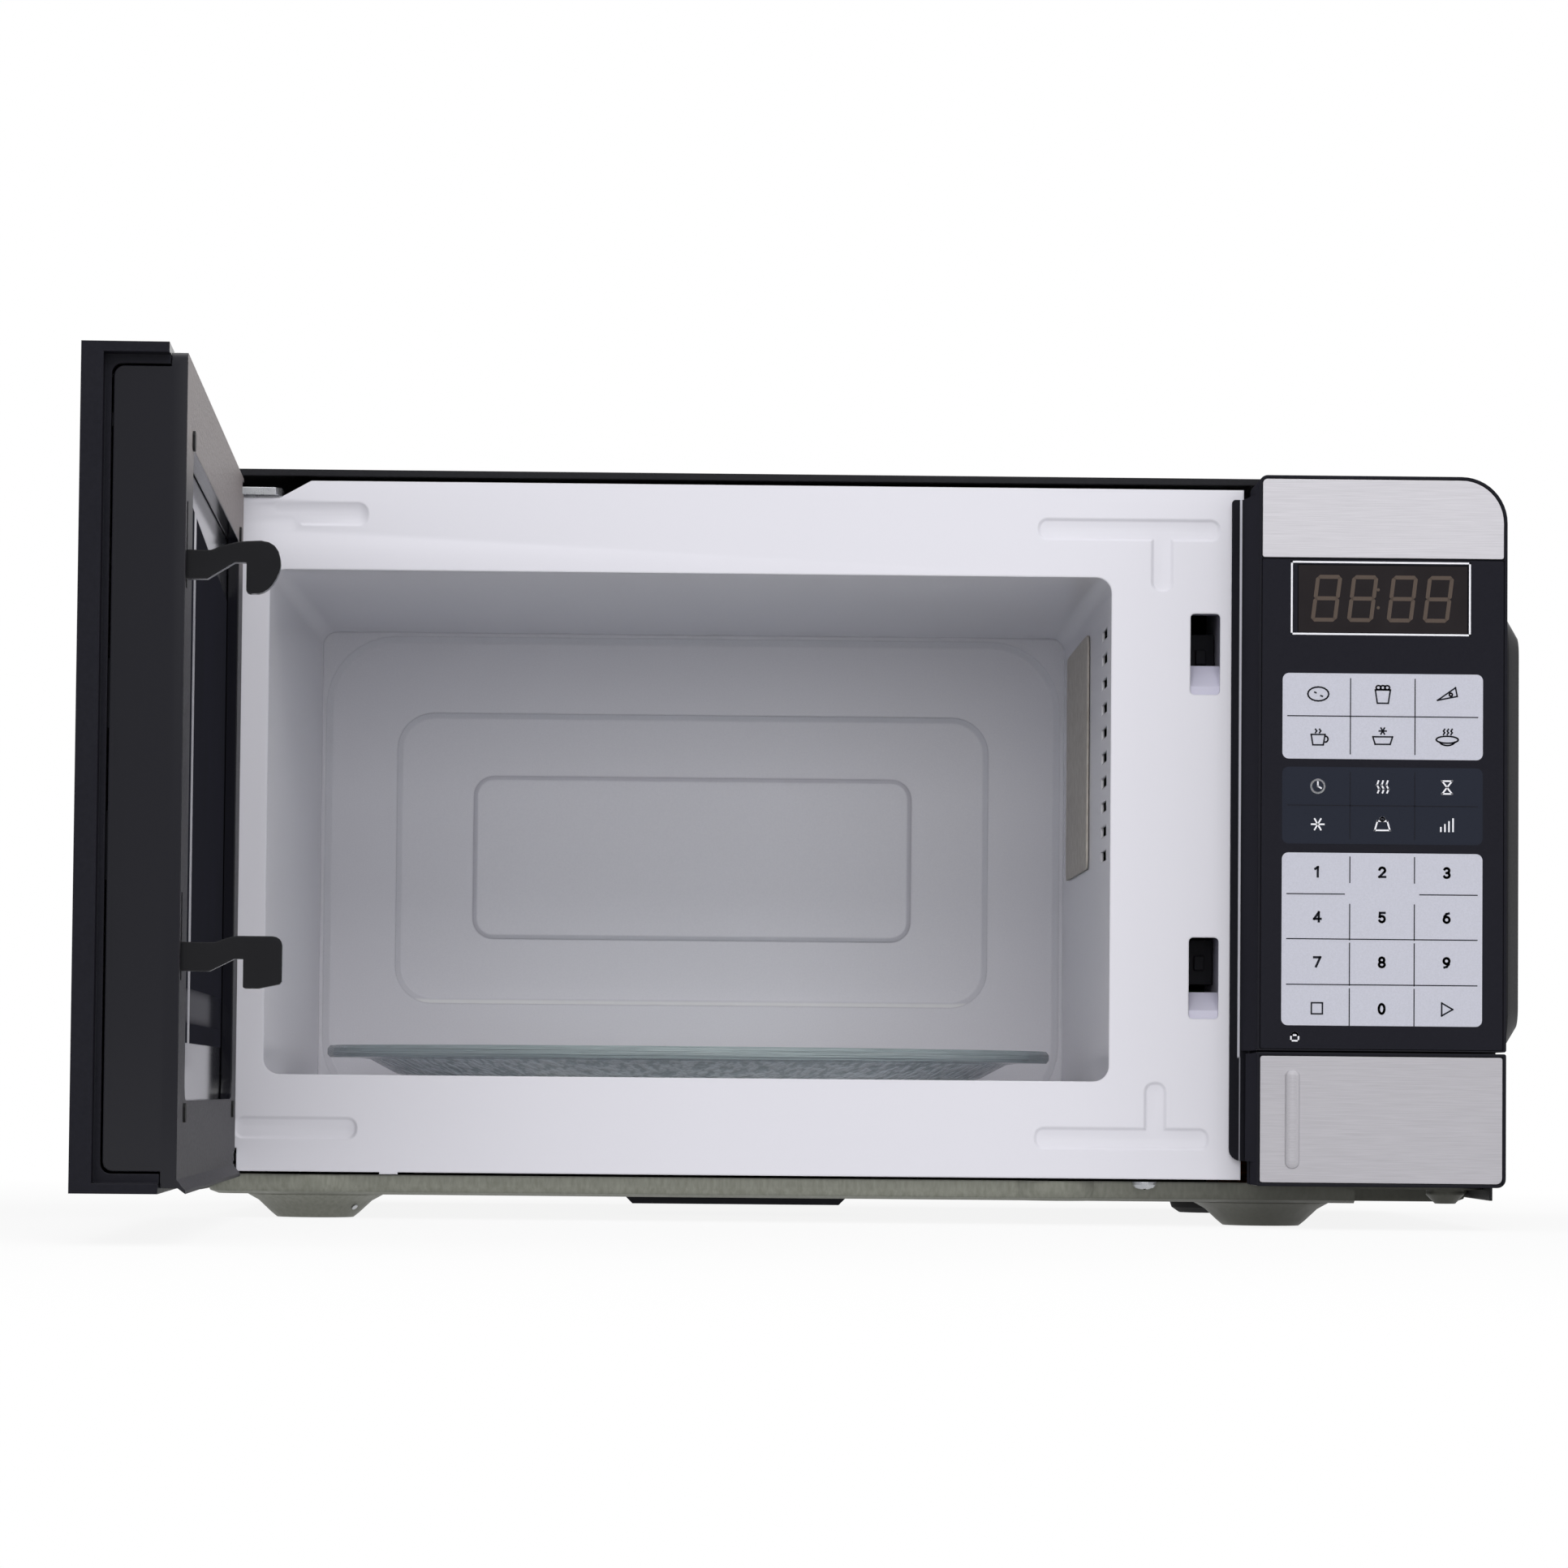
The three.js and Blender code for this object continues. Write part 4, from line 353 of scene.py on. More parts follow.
def brushed_steel(name, along, shade):
    """Fine streaks along one axis, given as 0 for X or 1 for Y."""
    across = [1500.0, 1500.0, 1500.0]
    across[along] = 26.0
    finish = Finish(name, srgb(*shade), 0.4, 0.35)
    streaks = finish.noise(3.0, 4, stretch=across)
    finish.tint(streaks, srgb(*[value - 16 for value in shade]), 0.9)
    finish.gloss(streaks, 0.38, 0.46)
    return finish.soften(0.0004).material


def bright_steel():
    finish = Finish("bright_steel", srgb(226, 228, 232), 0.24, 0.85)
    finish.tint(finish.noise(160, 3), srgb(196, 198, 204), 0.7)
    return finish.gloss(finish.noise(220, 3), 0.18, 0.36).soften(0.0004).material


def door_glass():
    """Dark glass whose printed border is solid and whose middle shows the screen's fine dots."""
    finish = Finish("door_glass", srgb(10, 10, 12), 0.06, 0.0, Specular_IOR_Level=0.4)
    dots = finish.nodes.new("ShaderNodeTexVoronoi")
    dots.inputs["Scale"].default_value = 420
    dots.inputs["Randomness"].default_value = 0.0
    finish.links.new(finish.place, dots.inputs["Vector"])
    return finish.tint(dots.outputs["Distance"], srgb(34, 34, 38), 0.8).material


FAINT_MIRROR = 0.0002  # at a grazing angle even a very low specular level mirrors a little


def inner_film():
    """Dark film, mirror-like at a grazing angle round the screen and dull over the screen itself, with
    painted reflections in an upright stripe and a faint low band.
    """
    finish = Finish("inner_film", srgb(41, 41, 49), 0.07)
    low, high = local_box("door_inner_window")
    finish.tint(finish.noise(30, 2), srgb(39, 40, 45), 0.6)
    lean = 0.048  # the upper margin widens toward the hinges
    top = high.z - 22.3 * MM + lean * high.y
    margins = finish.larger(
        finish.along("Z", low.z + 20 * MM, low.z + 18.8 * MM),
        finish.across((0, lean, 1), top - 1 * MM, top + 1 * MM))
    # painted reflections: an upright stripe mirrors strongly, and a low band mirrors faintly
    line = finish.between("Y", low.y + 85 * MM, low.y + 97.5 * MM, 3 * MM, 2 * MM)
    reflection_band = finish.between("Z", low.z + 26 * MM, low.z + 37 * MM, 3 * MM)
    sheet = finish.larger(margins, finish.times(line, 0.7), finish.times(reflection_band, FAINT_MIRROR))
    glance = finish.nodes.new("ShaderNodeLayerWeight")
    shine = finish.nodes.new("ShaderNodeMix")
    factor, elsewhere, grazing = shine.inputs[0], shine.inputs[2], shine.inputs[3]
    elsewhere.default_value = 0.35
    finish.links.new(finish.ramp(glance.outputs["Facing"], 0.0, 1.0, 0.84, 0.93), factor)
    finish.links.new(finish.ramp(sheet, 0.0, 0.6, 0.0, 1.0), grazing)
    finish.links.new(shine.outputs[0], finish.shader.inputs["Specular IOR Level"])
    return finish.relief(finish.noise(14, 2), 0.0002, 0.05).material


def display_film():
    finish = Finish("display_film", srgb(31, 27, 29), 0.2, 0.0, Specular_IOR_Level=0.2)
    return finish.tint(finish.noise(90, 2), srgb(36, 32, 34), 0.6).material


def tray_glass():
    """Pressed glass: a smooth teal rim with fine lines, and ridges under the plate and its slope that are
    painted pale, standing in for light coming through the glass.
    """
    finish = Finish("tray_glass", srgb(206, 230, 230), 0.1, 0.0, Transmission_Weight=0.45, IOR=1.45)
    high = local_box("glass_tray")[1]
    rim_foot, rim_start = high.z - 5.2 * MM, high.z - 4.2 * MM
    lines = finish.times(finish.noise(2.2, 3, stretch=(8, 8, 900)), finish.along("Z", rim_foot, rim_start))
    under = finish.along("Z", rim_start, rim_foot)
    ridges = finish.times(finish.noise(300, 2, stretch=(1, 1, 0.5)), under)
    finish.drive("Transmission Weight", under, 0.45, 0.1)
    # painted light: the underside is painted pale for light coming through the glass
    finish.blend(finish.times(under, 0.8), srgb(244, 248, 252))
    finish.blend(finish.ramp(lines, 0.0, 0.8, 0.5, 0.62), srgb(240, 248, 250))
    finish.blend(finish.ramp(ridges, 0.0, 0.8, 0.52, 0.42), srgb(196, 208, 212))
    return finish.relief(finish.larger(lines, ridges), 0.0016, 0.9).material


def lilac_plastic():
    finish = Finish("lilac_plastic", srgb(206, 204, 220), 0.45)
    finish.tint(finish.noise(50, 2), srgb(190, 188, 208), 0.6)
    return finish.soften(0.0004).material


def white_plastic():
    finish = Finish("white_plastic", srgb(228, 228, 222), 0.42)
    finish.tint(finish.noise(60, 2), srgb(214, 214, 206), 0.6)
    return finish.soften(0.0004).material


def rubber():
    finish = Finish("rubber", srgb(24, 24, 25), 0.85)
    finish.tint(finish.noise(300, 3), srgb(36, 36, 37), 0.7)
    return finish.relief(finish.noise(1200, 3), 0.00008, 0.4).material


def winding():
    finish = Finish("winding", srgb(168, 96, 52), 0.4, 0.3)
    return finish.tint(finish.noise(4, 3, stretch=(10, 10, 300)), srgb(104, 56, 30), 0.9).material


def circuit_board():
    finish = Finish("circuit_board", srgb(44, 92, 54), 0.5)
    return finish.tint(finish.noise(240, 4), srgb(70, 128, 74), 0.7).material


def printed(name, colour, roughness=0.35, metallic=0.0):
    """Ink on the keypad: fine grain in one colour."""
    finish = Finish(name, colour, roughness, metallic, Specular_IOR_Level=0.2)
    darker = tuple(0.9 * value for value in colour[:3]) + (1.0,)
    return finish.tint(finish.noise(1800, 2), darker, 0.8).material


GLOSS_BLACK = gloss_black()
BLACK_PLASTIC = black_plastic()
GRAINED = grained_plastic()
BRIGHT_STEEL = bright_steel()
CASE_BLACK = powder_coat()
STEEL_X = brushed_steel("stainless_panel", 0, (215, 213, 219))
STEEL_BUTTON = brushed_steel("stainless_button", 0, (192, 190, 196))
STEEL_Y = brushed_steel("stainless_door", 1, (215, 213, 219))

BY_SLOT = {
    "case_black": CASE_BLACK,
    "galvanised": galvanised(),
    "enamel_white": white_enamel(),
    "cavity_grey": grey_enamel(),
    "mica": mica(),
    "black_plastic": BLACK_PLASTIC,
    "gloss_black": GLOSS_BLACK,
    "stainless": STEEL_X,
    "bright_steel": BRIGHT_STEEL,
    "smoked_glass": inner_film(),
    "teal_glass": tray_glass(),
    "lilac_plastic": lilac_plastic(),
    "white_plastic": white_plastic(),
    "rubber": rubber(),
    "winding": winding(),
    "circuit_board": circuit_board(),
}
BY_NODE = {
    "door_trim_top": STEEL_Y,
    "door_trim_bottom": STEEL_Y,
    "door_choke_cover": GRAINED,
    "button_plate": STEEL_BUTTON,
    "panel_frame": panel_plastic("panel_black", "panel_frame", True),
    "door_button": panel_plastic("button_black", "door_button", False),
    "membrane_keypad": key_film(),
    "display_window": display_film(),
    "door_glass": door_glass(),
}

SMOOTH_ANGLE = math.radians(32)
WELD_DISTANCE = 1e-6


def smooth(thing):
    """Round faces shade smoothly and real edges stay sharp, without touching the shape."""
    weld = thing.modifiers.new("weld", "WELD")
    weld.merge_threshold = WELD_DISTANCE
    split = thing.modifiers.new("sharp_edges", "EDGE_SPLIT")
    split.split_angle = SMOOTH_ANGLE
    split.use_edge_sharp = False
    for polygon in thing.data.polygons:
        polygon.use_smooth = True


def dress_cad():
    """A material for every CAD node, by its own name or else by its slot in the record."""
    slots = {part["node"]: part["material_slot"] for part in frame["record"]["subparts"]}
    for name, node in frame["nodes"].items():
        material = BY_NODE.get(name, BY_SLOT[slots[name]])
        node.data.materials.clear()
        node.data.materials.append(material)
        smooth(node)


dress_cad()


# ------------------------------------------------------------------ shapes
def object_from(name, builder, material, body):
    """New mesh object, riding on a body unless that is None."""
    mesh = bpy.data.meshes.new(name)
    bm = bmesh.new()
    builder(bm)
    bmesh.ops.recalc_face_normals(bm, faces=bm.faces)
    bm.to_mesh(mesh)
    bm.free()
    mesh.materials.append(material)
    thing = bpy.data.objects.new(name, mesh)
    scene.collection.objects.link(thing)
    if body:
        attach(thing, body)
    return thing


def skin(bm, rings):
    """Solid through rings of the same number of points, with flat ends."""
    rings = [[bm.verts.new(point) for point in ring] for ring in rings]
    count = len(rings[0])
    for low, high in zip(rings, rings[1:]):
        for i in range(count):
            j = (i + 1) % count
            bm.faces.new((low[i], low[j], high[j], high[i]))
    bm.faces.new(list(reversed(rings[0])))
    bm.faces.new(rings[-1])


def slab(bm, outline, front, thickness):
    """Flat piece facing -Y with that outline of (x, z) points in metres."""
    skin(bm, [[(x, y, z) for x, z in outline] for y in (front + thickness, front)])


def rounded_outline(x0, x1, z0, z1, radius, steps=6):
    """(x, z) points of a rectangle with round corners."""
    points = []
    corners = [(x1 - radius, z0 + radius, -90), (x1 - radius, z1 - radius, 0),
               (x0 + radius, z1 - radius, 90), (x0 + radius, z0 + radius, 180)]
    for cx, cz, start in corners:
        for i in range(steps + 1):
            angle = math.radians(start + 90 * i / steps)
            points.append((cx + radius * math.cos(angle), cz + radius * math.sin(angle)))
    return points


def stroke(bm, points, width, front, thickness):
    """Line of even width through (x, z) points."""
    for (ax, az), (bx, bz) in zip(points, points[1:]):
        length = math.hypot(bx - ax, bz - az)
        if length < 1e-7:
            continue
        dx, dz = (bx - ax) / length * width / 2, (bz - az) / length * width / 2
        corners = [(ax - dx - dz, az - dz + dx), (ax - dx + dz, az - dz - dx),
                   (bx + dx + dz, bz + dz - dx), (bx + dx - dz, bz + dz + dx)]
        slab(bm, corners, front, thickness)


def arc(cx, cz, rx, rz, start, end, steps=12):
    """(x, z) points along an ellipse between two angles in degrees."""
    return [(cx + rx * math.cos(math.radians(start + (end - start) * i / steps)),
             cz + rz * math.sin(math.radians(start + (end - start) * i / steps))) for i in range(steps + 1)]


# ------------------------------------------------------------------ keypad print
INK = 0.05 * MM  # thickness of one print
INK_FRONT = KEYPAD_LOW.y - INK  # blocks lie on the film, lines and symbols on the blocks
LINE_FRONT = INK_FRONT - INK
LINE = 0.38 * MM
DIGIT_LINE = 0.8 * MM
SYMBOL_LINE = 0.54 * MM

KEYS_LEFT = KEYPAD_LOW.x + 7.1 * MM
KEYS_RIGHT = KEYPAD_HIGH.x - 7.1 * MM
KEYS_MIDDLE = (KEYS_LEFT + KEYS_RIGHT) / 2
KEY_BASE = KEYPAD_LOW.z
COLUMN = 22.3 * MM
COLUMNS = [KEYS_MIDDLE - COLUMN, KEYS_MIDDLE, KEYS_MIDDLE + COLUMN]
# each block's foot and head
DIGIT_BLOCK = (KEY_BASE + 8.0 * MM, KEY_BASE + 67.5 * MM)
FUNCTION_BLOCK = (KEY_BASE + 70.6 * MM, KEY_BASE + 97.1 * MM)
QUICK_BLOCK = (KEY_BASE + 99.9 * MM, KEY_BASE + 129.5 * MM)
BLOCK_RADIUS = 2.2 * MM
DIGIT_LEVELS = [DIGIT_BLOCK[1] - drop * MM for drop in (6.6, 22.1, 37.6, 53.6)]
DIGIT_DIVIDERS = [DIGIT_BLOCK[1] - drop * MM for drop in (14.2, 29.7, 45.4)]

SILVER_INK = printed("ink_silver", srgb(197, 198, 210), 0.38, 0.2)
SLATE_INK = printed("ink_slate", srgb(30, 34, 46), 0.5)
DARK_INK = printed("ink_dark", srgb(24, 25, 34), 0.4)
WHITE_INK = printed("ink_white", srgb(236, 236, 242), 0.4)
EMBER = printed("display_ember", srgb(84, 73, 66), 0.5)


def make_blocks():
    """Silver blocks of the digits and the quick keys, and the slate block of the functions between them."""
    def block(bm, low, high):
        slab(bm, rounded_outline(KEYS_LEFT, KEYS_RIGHT, low, high, BLOCK_RADIUS), INK_FRONT, INK)

    def silver(bm):
        block(bm, *DIGIT_BLOCK)
        block(bm, *QUICK_BLOCK)

    def slate(bm):
        block(bm, *FUNCTION_BLOCK)

    object_from("keypad_blocks_silver", silver, SILVER_INK, "oven")
    object_from("keypad_block_slate", slate, SLATE_INK, "oven")


def make_dividers():
    """Lines between the keys."""
    edge = 1.8 * MM

    def level(bm, z, gap=None):
        left, right = KEYS_LEFT + edge, KEYS_RIGHT - edge
        spans = [(left, KEYS_MIDDLE - gap), (KEYS_MIDDLE + gap, right)] if gap else [(left, right)]
        for start, end in spans:
            stroke(bm, [(start, z), (end, z)], LINE, LINE_FRONT, INK)

    def upright(bm, low, high):
        for x in (KEYS_MIDDLE - COLUMN / 2, KEYS_MIDDLE + COLUMN / 2):
            stroke(bm, [(x, low + edge), (x, high - edge)], LINE, LINE_FRONT, INK)

    def dark(bm):
        level(bm, sum(QUICK_BLOCK) / 2)
        upright(bm, *QUICK_BLOCK)
        level(bm, DIGIT_DIVIDERS[0], gap=13 * MM)
        level(bm, DIGIT_DIVIDERS[1])
        level(bm, DIGIT_DIVIDERS[2])
        bounds = [DIGIT_BLOCK[1], *DIGIT_DIVIDERS, DIGIT_BLOCK[0]]
        for high, low in zip(bounds, bounds[1:]):
            # the uprights stop short of the gap in the first level
            above = 2.2 * MM if low == DIGIT_DIVIDERS[0] else -2.0 * MM
            below = 1.7 * MM if high == DIGIT_DIVIDERS[0] else -0.4 * MM
            upright(bm, low + above, high - below)

    def faint(bm):
        level(bm, sum(FUNCTION_BLOCK) / 2)
        upright(bm, *FUNCTION_BLOCK)

    object_from("keypad_lines_dark", dark, DARK_INK, "oven")
    object_from("keypad_lines_slate", faint, DARK_INK, "oven")


# bold numerals 3.6 mm high, each a set of lines in millimetres from its middle
NUMERALS = {
    0: [arc(0, 0, 0.95, 1.6, 0, 360, 20)],
    1: [[(-0.75, 1.05), (0.1, 1.6), (0.1, -1.6)]],
    2: [arc(0, 0.7, 0.95, 0.9, 165, -35, 14) + [(-0.95, -1.55), (1.05, -1.55)]],
    3: [arc(-0.05, 0.8, 0.85, 0.8, 150, -90, 14), arc(-0.05, -0.8, 0.95, 0.8, 90, -150, 14)],
    4: [[(0.5, -1.6), (0.5, 1.55), (-1.1, -0.7), (1.15, -0.7)]],
    5: [[(0.9, 1.55), (-0.7, 1.55), (-0.8, 0.2)] + arc(-0.05, -0.6, 0.95, 1.0, 130, -150, 14)],
    6: [arc(0, -0.65, 0.95, 0.95, 0, 360, 20), [(0.7, 1.55), (-0.1, 1.3), (-0.7, 0.55), (-0.95, -0.5)]],
    7: [[(-1.05, 1.55), (1.05, 1.55), (-0.35, -1.6)]],
    8: [arc(0, 0.8, 0.8, 0.8, 0, 360, 18), arc(0, -0.8, 0.95, 0.8, 0, 360, 18)],
    9: [arc(0, 0.65, 0.95, 0.95, 0, 360, 20), [(-0.7, -1.55), (0.1, -1.3), (0.7, -0.55), (0.95, 0.5)]],
}


def make_digits():
    """Numerals 0 to 9 on the lowest block."""
    def build(bm):
        for number, lines in NUMERALS.items():
            row, col = divmod(number - 1, 3) if number else (3, 1)
            for line in lines:
                points = [(COLUMNS[col] + x * MM, DIGIT_LEVELS[row] + z * MM) for x, z in line]
                stroke(bm, points, DIGIT_LINE, LINE_FRONT, INK)

    object_from("keypad_digits", build, DARK_INK, "oven")


def make_symbols():
    """Plain symbols of no maker's design in place of words, in millimetres from each key's middle."""
    def draw(bm, points, cx, cz):
        stroke(bm, [(cx + x * MM, cz + z * MM) for x, z in points], SYMBOL_LINE, LINE_FRONT, INK)

    def circle(bm, cx, cz, rx, rz, start=0, end=360):
        draw(bm, arc(0, 0, rx, rz, start, end, 20), cx, cz)

    def star(bm, cx, cz, reach):
        for angle in (0, 60, 120):
            dx, dz = reach * math.cos(math.radians(angle)), reach * math.sin(math.radians(angle))
            draw(bm, [(-dx, -dz), (dx, dz)], cx, cz)

    def quick(bm):
        left, middle, right = COLUMNS
        upper, lower = QUICK_BLOCK[1] - 7.2 * MM, QUICK_BLOCK[0] + 7.4 * MM
        # potato
        circle(bm, left, upper, 3.6, 2.4)
        draw(bm, [(-1.2, 0.6), (-0.8, 0.4)], left, upper)
        draw(bm, [(0.9, -0.6), (1.4, -0.8)], left, upper)
        # tub of popcorn
        draw(bm, [(-2.6, 1.6), (-1.9, -3.0), (1.9, -3.0), (2.6, 1.6), (-2.6, 1.6)], middle, upper)
        for x in (-1.5, 0.0, 1.5):
            circle(bm, middle + x * MM, upper + 2.4 * MM, 0.8, 0.7)
        # slice of pizza
        draw(bm, [(-3.4, -1.8), (2.8, 2.6), (3.4, -0.4), (-3.4, -1.8)], right, upper)
        circle(bm, right + 1.2 * MM, upper + 0.2 * MM, 0.5, 0.5)
        # hot cup
        draw(bm, [(-2.4, 1.0), (-1.8, -2.6), (1.8, -2.6), (2.4, 1.0), (-2.4, 1.0)], left, lower)
        circle(bm, left + 2.5 * MM, lower - 0.6 * MM, 0.9, 1.0, -90, 90)
        draw(bm, [(-0.9, 1.6), (-0.5, 2.2), (-0.9, 2.8)], left, lower)
        draw(bm, [(0.5, 1.6), (0.9, 2.2), (0.5, 2.8)], left, lower)
        # dish under a snowflake
        draw(bm, [(-3.4, 0.4), (-2.6, -2.2), (2.6, -2.2), (3.4, 0.4), (-3.4, 0.4)], middle, lower)
        star(bm, middle, lower + 2.4 * MM, 1.2)
        # hot plate
        circle(bm, right, lower - 0.4 * MM, 3.8, 1.2)
        circle(bm, right, lower - 0.6 * MM, 2.8, 1.8, 200, 340)
        for x in (-1.3, 0.0, 1.3):
            draw(bm, [(x, 1.4), (x + 0.4, 2.0), (x, 2.6), (x + 0.4, 3.2)], right, lower)

    def bottom(bm):
        left, _, right = COLUMNS
        level = DIGIT_LEVELS[3]
        # stop and start
        draw(bm, [(-1.9, -1.9), (1.9, -1.9), (1.9, 1.9), (-1.9, 1.9), (-1.9, -1.9)], left, level)
        draw(bm, [(-1.6, -2.2), (2.2, 0), (-1.6, 2.2), (-1.6, -2.2)], right, level)

    def pale(bm):
        left, middle, right = COLUMNS
        upper, lower = FUNCTION_BLOCK[1] - 6.7 * MM, FUNCTION_BLOCK[0] + 6.7 * MM
        # clock
        circle(bm, left, upper, 2.3, 2.3)
        draw(bm, [(0, 1.5), (0, 0), (1.1, -0.6)], left, upper)
        # heat
        for x in (-1.6, 0.0, 1.6):
            draw(bm, [(x, -2.0), (x + 0.5, -0.8), (x - 0.3, 0.6), (x + 0.2, 2.0)], middle, upper)
        # hourglass
        glass = [(-1.7, 2.2), (1.7, 2.2), (0, 0), (1.7, -2.2), (-1.7, -2.2), (0, 0), (-1.7, 2.2)]
        draw(bm, glass, right, upper)
        # snowflake
        star(bm, left, lower, 2.1)
        # weight
        draw(bm, [(-2.6, -1.9), (-1.7, 1.3), (1.7, 1.3), (2.6, -1.9), (-2.6, -1.9)], middle, lower)
        circle(bm, middle, lower + 1.9 * MM, 0.7, 0.6)
        # rising bars
        for x, height in ((-2.1, -0.8), (-0.7, 0.2), (0.7, 1.2), (2.1, 2.2)):
            draw(bm, [(x, -2.0), (x, height)], right, lower)
        # lock below the blocks
        x, z = left - 7.6 * MM, KEY_BASE + 4.6 * MM
        circle(bm, x, z, 0.9, 0.9, 0, 180)
        draw(bm, [(-1.3, 0), (1.3, 0), (1.3, -1.9), (-1.3, -1.9), (-1.3, 0)], x, z)

    object_from("keypad_symbols_dark", quick, DARK_INK, "oven")
    object_from("keypad_symbols_bottom", bottom, DARK_INK, "oven")
    object_from("keypad_symbols_pale", pale, WHITE_INK, "oven")


make_blocks()
make_dividers()
make_digits()
make_symbols()


def make_display():
    """White frame line, and inside it four slanted unlit digits with a colon."""
    front = WINDOW_LOW.y - INK
    x0, x1 = KEYPAD_LOW.x + 10.1 * MM, KEYPAD_HIGH.x - 11.7 * MM
    z0, z1 = KEYPAD_HIGH.z - 25.8 * MM, KEYPAD_HIGH.z - 0.9 * MM
    centre, middle = (x0 + x1) / 2, (z0 + z1) / 2 - 0.1 * MM
    frame_line = 0.62 * MM
    height, width = 16.2 * MM, 9.0 * MM
    bar, gap = 1.35 * MM, 0.24 * MM  # a segment's thickness and the space left at its ends
    lean = math.tan(math.radians(7))

    def border(bm):
        stroke(bm, [(x0, z0), (x1, z0), (x1, z1), (x0, z1), (x0, z0)], frame_line, front, INK)

    def segment(bm, x, z, length, upright):
        half, tip = length / 2 - gap, bar / 2
        long, short = half + tip / 2, half - tip / 2
        if upright:
            outline = [(0, -long), (tip, -short), (tip, short), (0, long), (-tip, short), (-tip, -short)]
        else:
            outline = [(-long, 0), (-short, -tip), (short, -tip), (long, 0), (short, tip), (-short, tip)]
        slab(bm, [(x + px + (z + pz - middle) * lean, z + pz) for px, pz in outline], front, INK)

    def digits(bm):
        for offset in (-18.8, -6.3, 7.4, 19.9):
            x = centre + offset * MM
            for level in (-1, 0, 1):
                segment(bm, x, middle + level * (height - bar) / 2, width - bar, False)
            for side in (-1, 1):
                for level in (-1, 1):
                    segment(bm, x + side * (width - bar) / 2, middle + level * (height - bar) / 4,
                            (height - bar) / 2, True)
        dot = arc(centre - 0.9 * MM, middle, 0.55 * MM, 0.55 * MM, 0, 330, 11)
        for level in (-3.1 * MM, 3.1 * MM):
            slab(bm, [(x, z + level) for x, z in dot], front, INK)

    object_from("display_border", border, WHITE_INK, "oven")
    object_from("display_digits", digits, EMBER, "oven")


make_display()


# ------------------------------------------------------------------ fixings
def screw(name, place, outward, radius, body, crossed=True):
    """Domed head of a cross-head screw, or of a plain rivet."""
    def build(bm):
        turns = [2 * math.pi * i / 24 for i in range(24)]
        levels = ((1.0, 0.0), (1.0, 0.28), (0.8, 0.5), (0.45, 0.62))  # radius and height, in head radii
        skin(bm, [[(radius * r * math.cos(turn), radius * r * math.sin(turn), radius * h) for turn in turns]
                  for r, h in levels])
        arm, wide, top = 0.5 * radius, 0.11 * radius, 0.64 * radius
        for a, b in ((arm, wide), (wide, arm)) if crossed else ():
            corners = [(-a, -b), (a, -b), (a, b), (-a, b)]
            bm.faces.new([bm.verts.new((x, y, top)) for x, y in corners]).material_index = 1

    thing = object_from(name, build, BRIGHT_STEEL, body)
    thing.data.materials.append(BLACK_PLASTIC)
    thing.parent = None
    turn = Vector(outward).to_track_quat("Z", "Y").to_matrix().to_4x4()
    thing.matrix_world = Matrix.Translation(place) @ turn
    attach(thing, body)


def make_fixings():
    """A screw under the front plate, a rivet on the left front foot's slope and seven screws on the back."""
    under_plate = Vector((ORIGIN.x + 160.7 * MM, PLATE_LOW.y + 4.3 * MM, PAN_HIGH.z))
    screw("plate_screw", under_plate, (0, 0, -1), 4.2 * MM, "oven")
    ahead_of_foot = Vector((ORIGIN.x - 116.5 * MM, -1.0, 3.8 * MM))
    met, place, normal, _ = frame["nodes"]["base_pan"].ray_cast(ahead_of_foot, Vector((0, 1, 0)))
    if met:
        screw("foot_rivet", place - 0.1 * MM * normal, normal, 1.2 * MM, "oven", crossed=False)
    y = BACK_HIGH.y - 1.0 * MM
    inset = 9 * MM
    sides = (BACK_LOW.x + inset, BACK_HIGH.x - inset)
    spots = [(x, z * MM) for x in sides for z in (20, 130, 248)]
    spots.append(((BACK_LOW.x + BACK_HIGH.x) / 2, 250 * MM))
    for i, (x, z) in enumerate(spots):
        screw(f"back_screw_{i + 1}", Vector((x, y, z)), (0, 1, 0), 3.6 * MM, "oven")


make_fixings()


# ------------------------------------------------------------------ window clips
DOOR_LEAN = 0.035  # the inner face leans so that its free edge stands further out


def make_window_clips():
    """Black clips just outside the window's corners, proud of the choke cover's face."""
    low, high = local_box("door_inner_window")
    a, b = 3.5 * MM, 2.8 * MM  # half of the length along Y and of the height
    corner = 1.2 * MM
    deep, proud = 2.0 * MM, 4.7 * MM  # foot and top, from the window's face
    outline = [(-a + corner, -b), (a - corner, -b), (a, -b + corner), (a, b - corner),
               (a - corner, b), (-a + corner, b), (-a, b - corner), (-a, -b + corner)]
    levels = (low.z - 1.0 * MM, high.z - 0.4 * MM)
    spots = [(y, z) for y in (low.y - 0.2 * MM, high.y + 0.2 * MM) for z in levels]
    for i, (y, z) in enumerate(spots):
        def build(bm):
            skin(bm, [[(high.x - DOOR_LEAN * (y + v - low.y) + height, y + v, z + w) for v, w in outline]
                      for height in (deep, proud)])

        object_from(f"window_clip_{i + 1}", build, BY_SLOT["rubber"], "door")


make_window_clips()


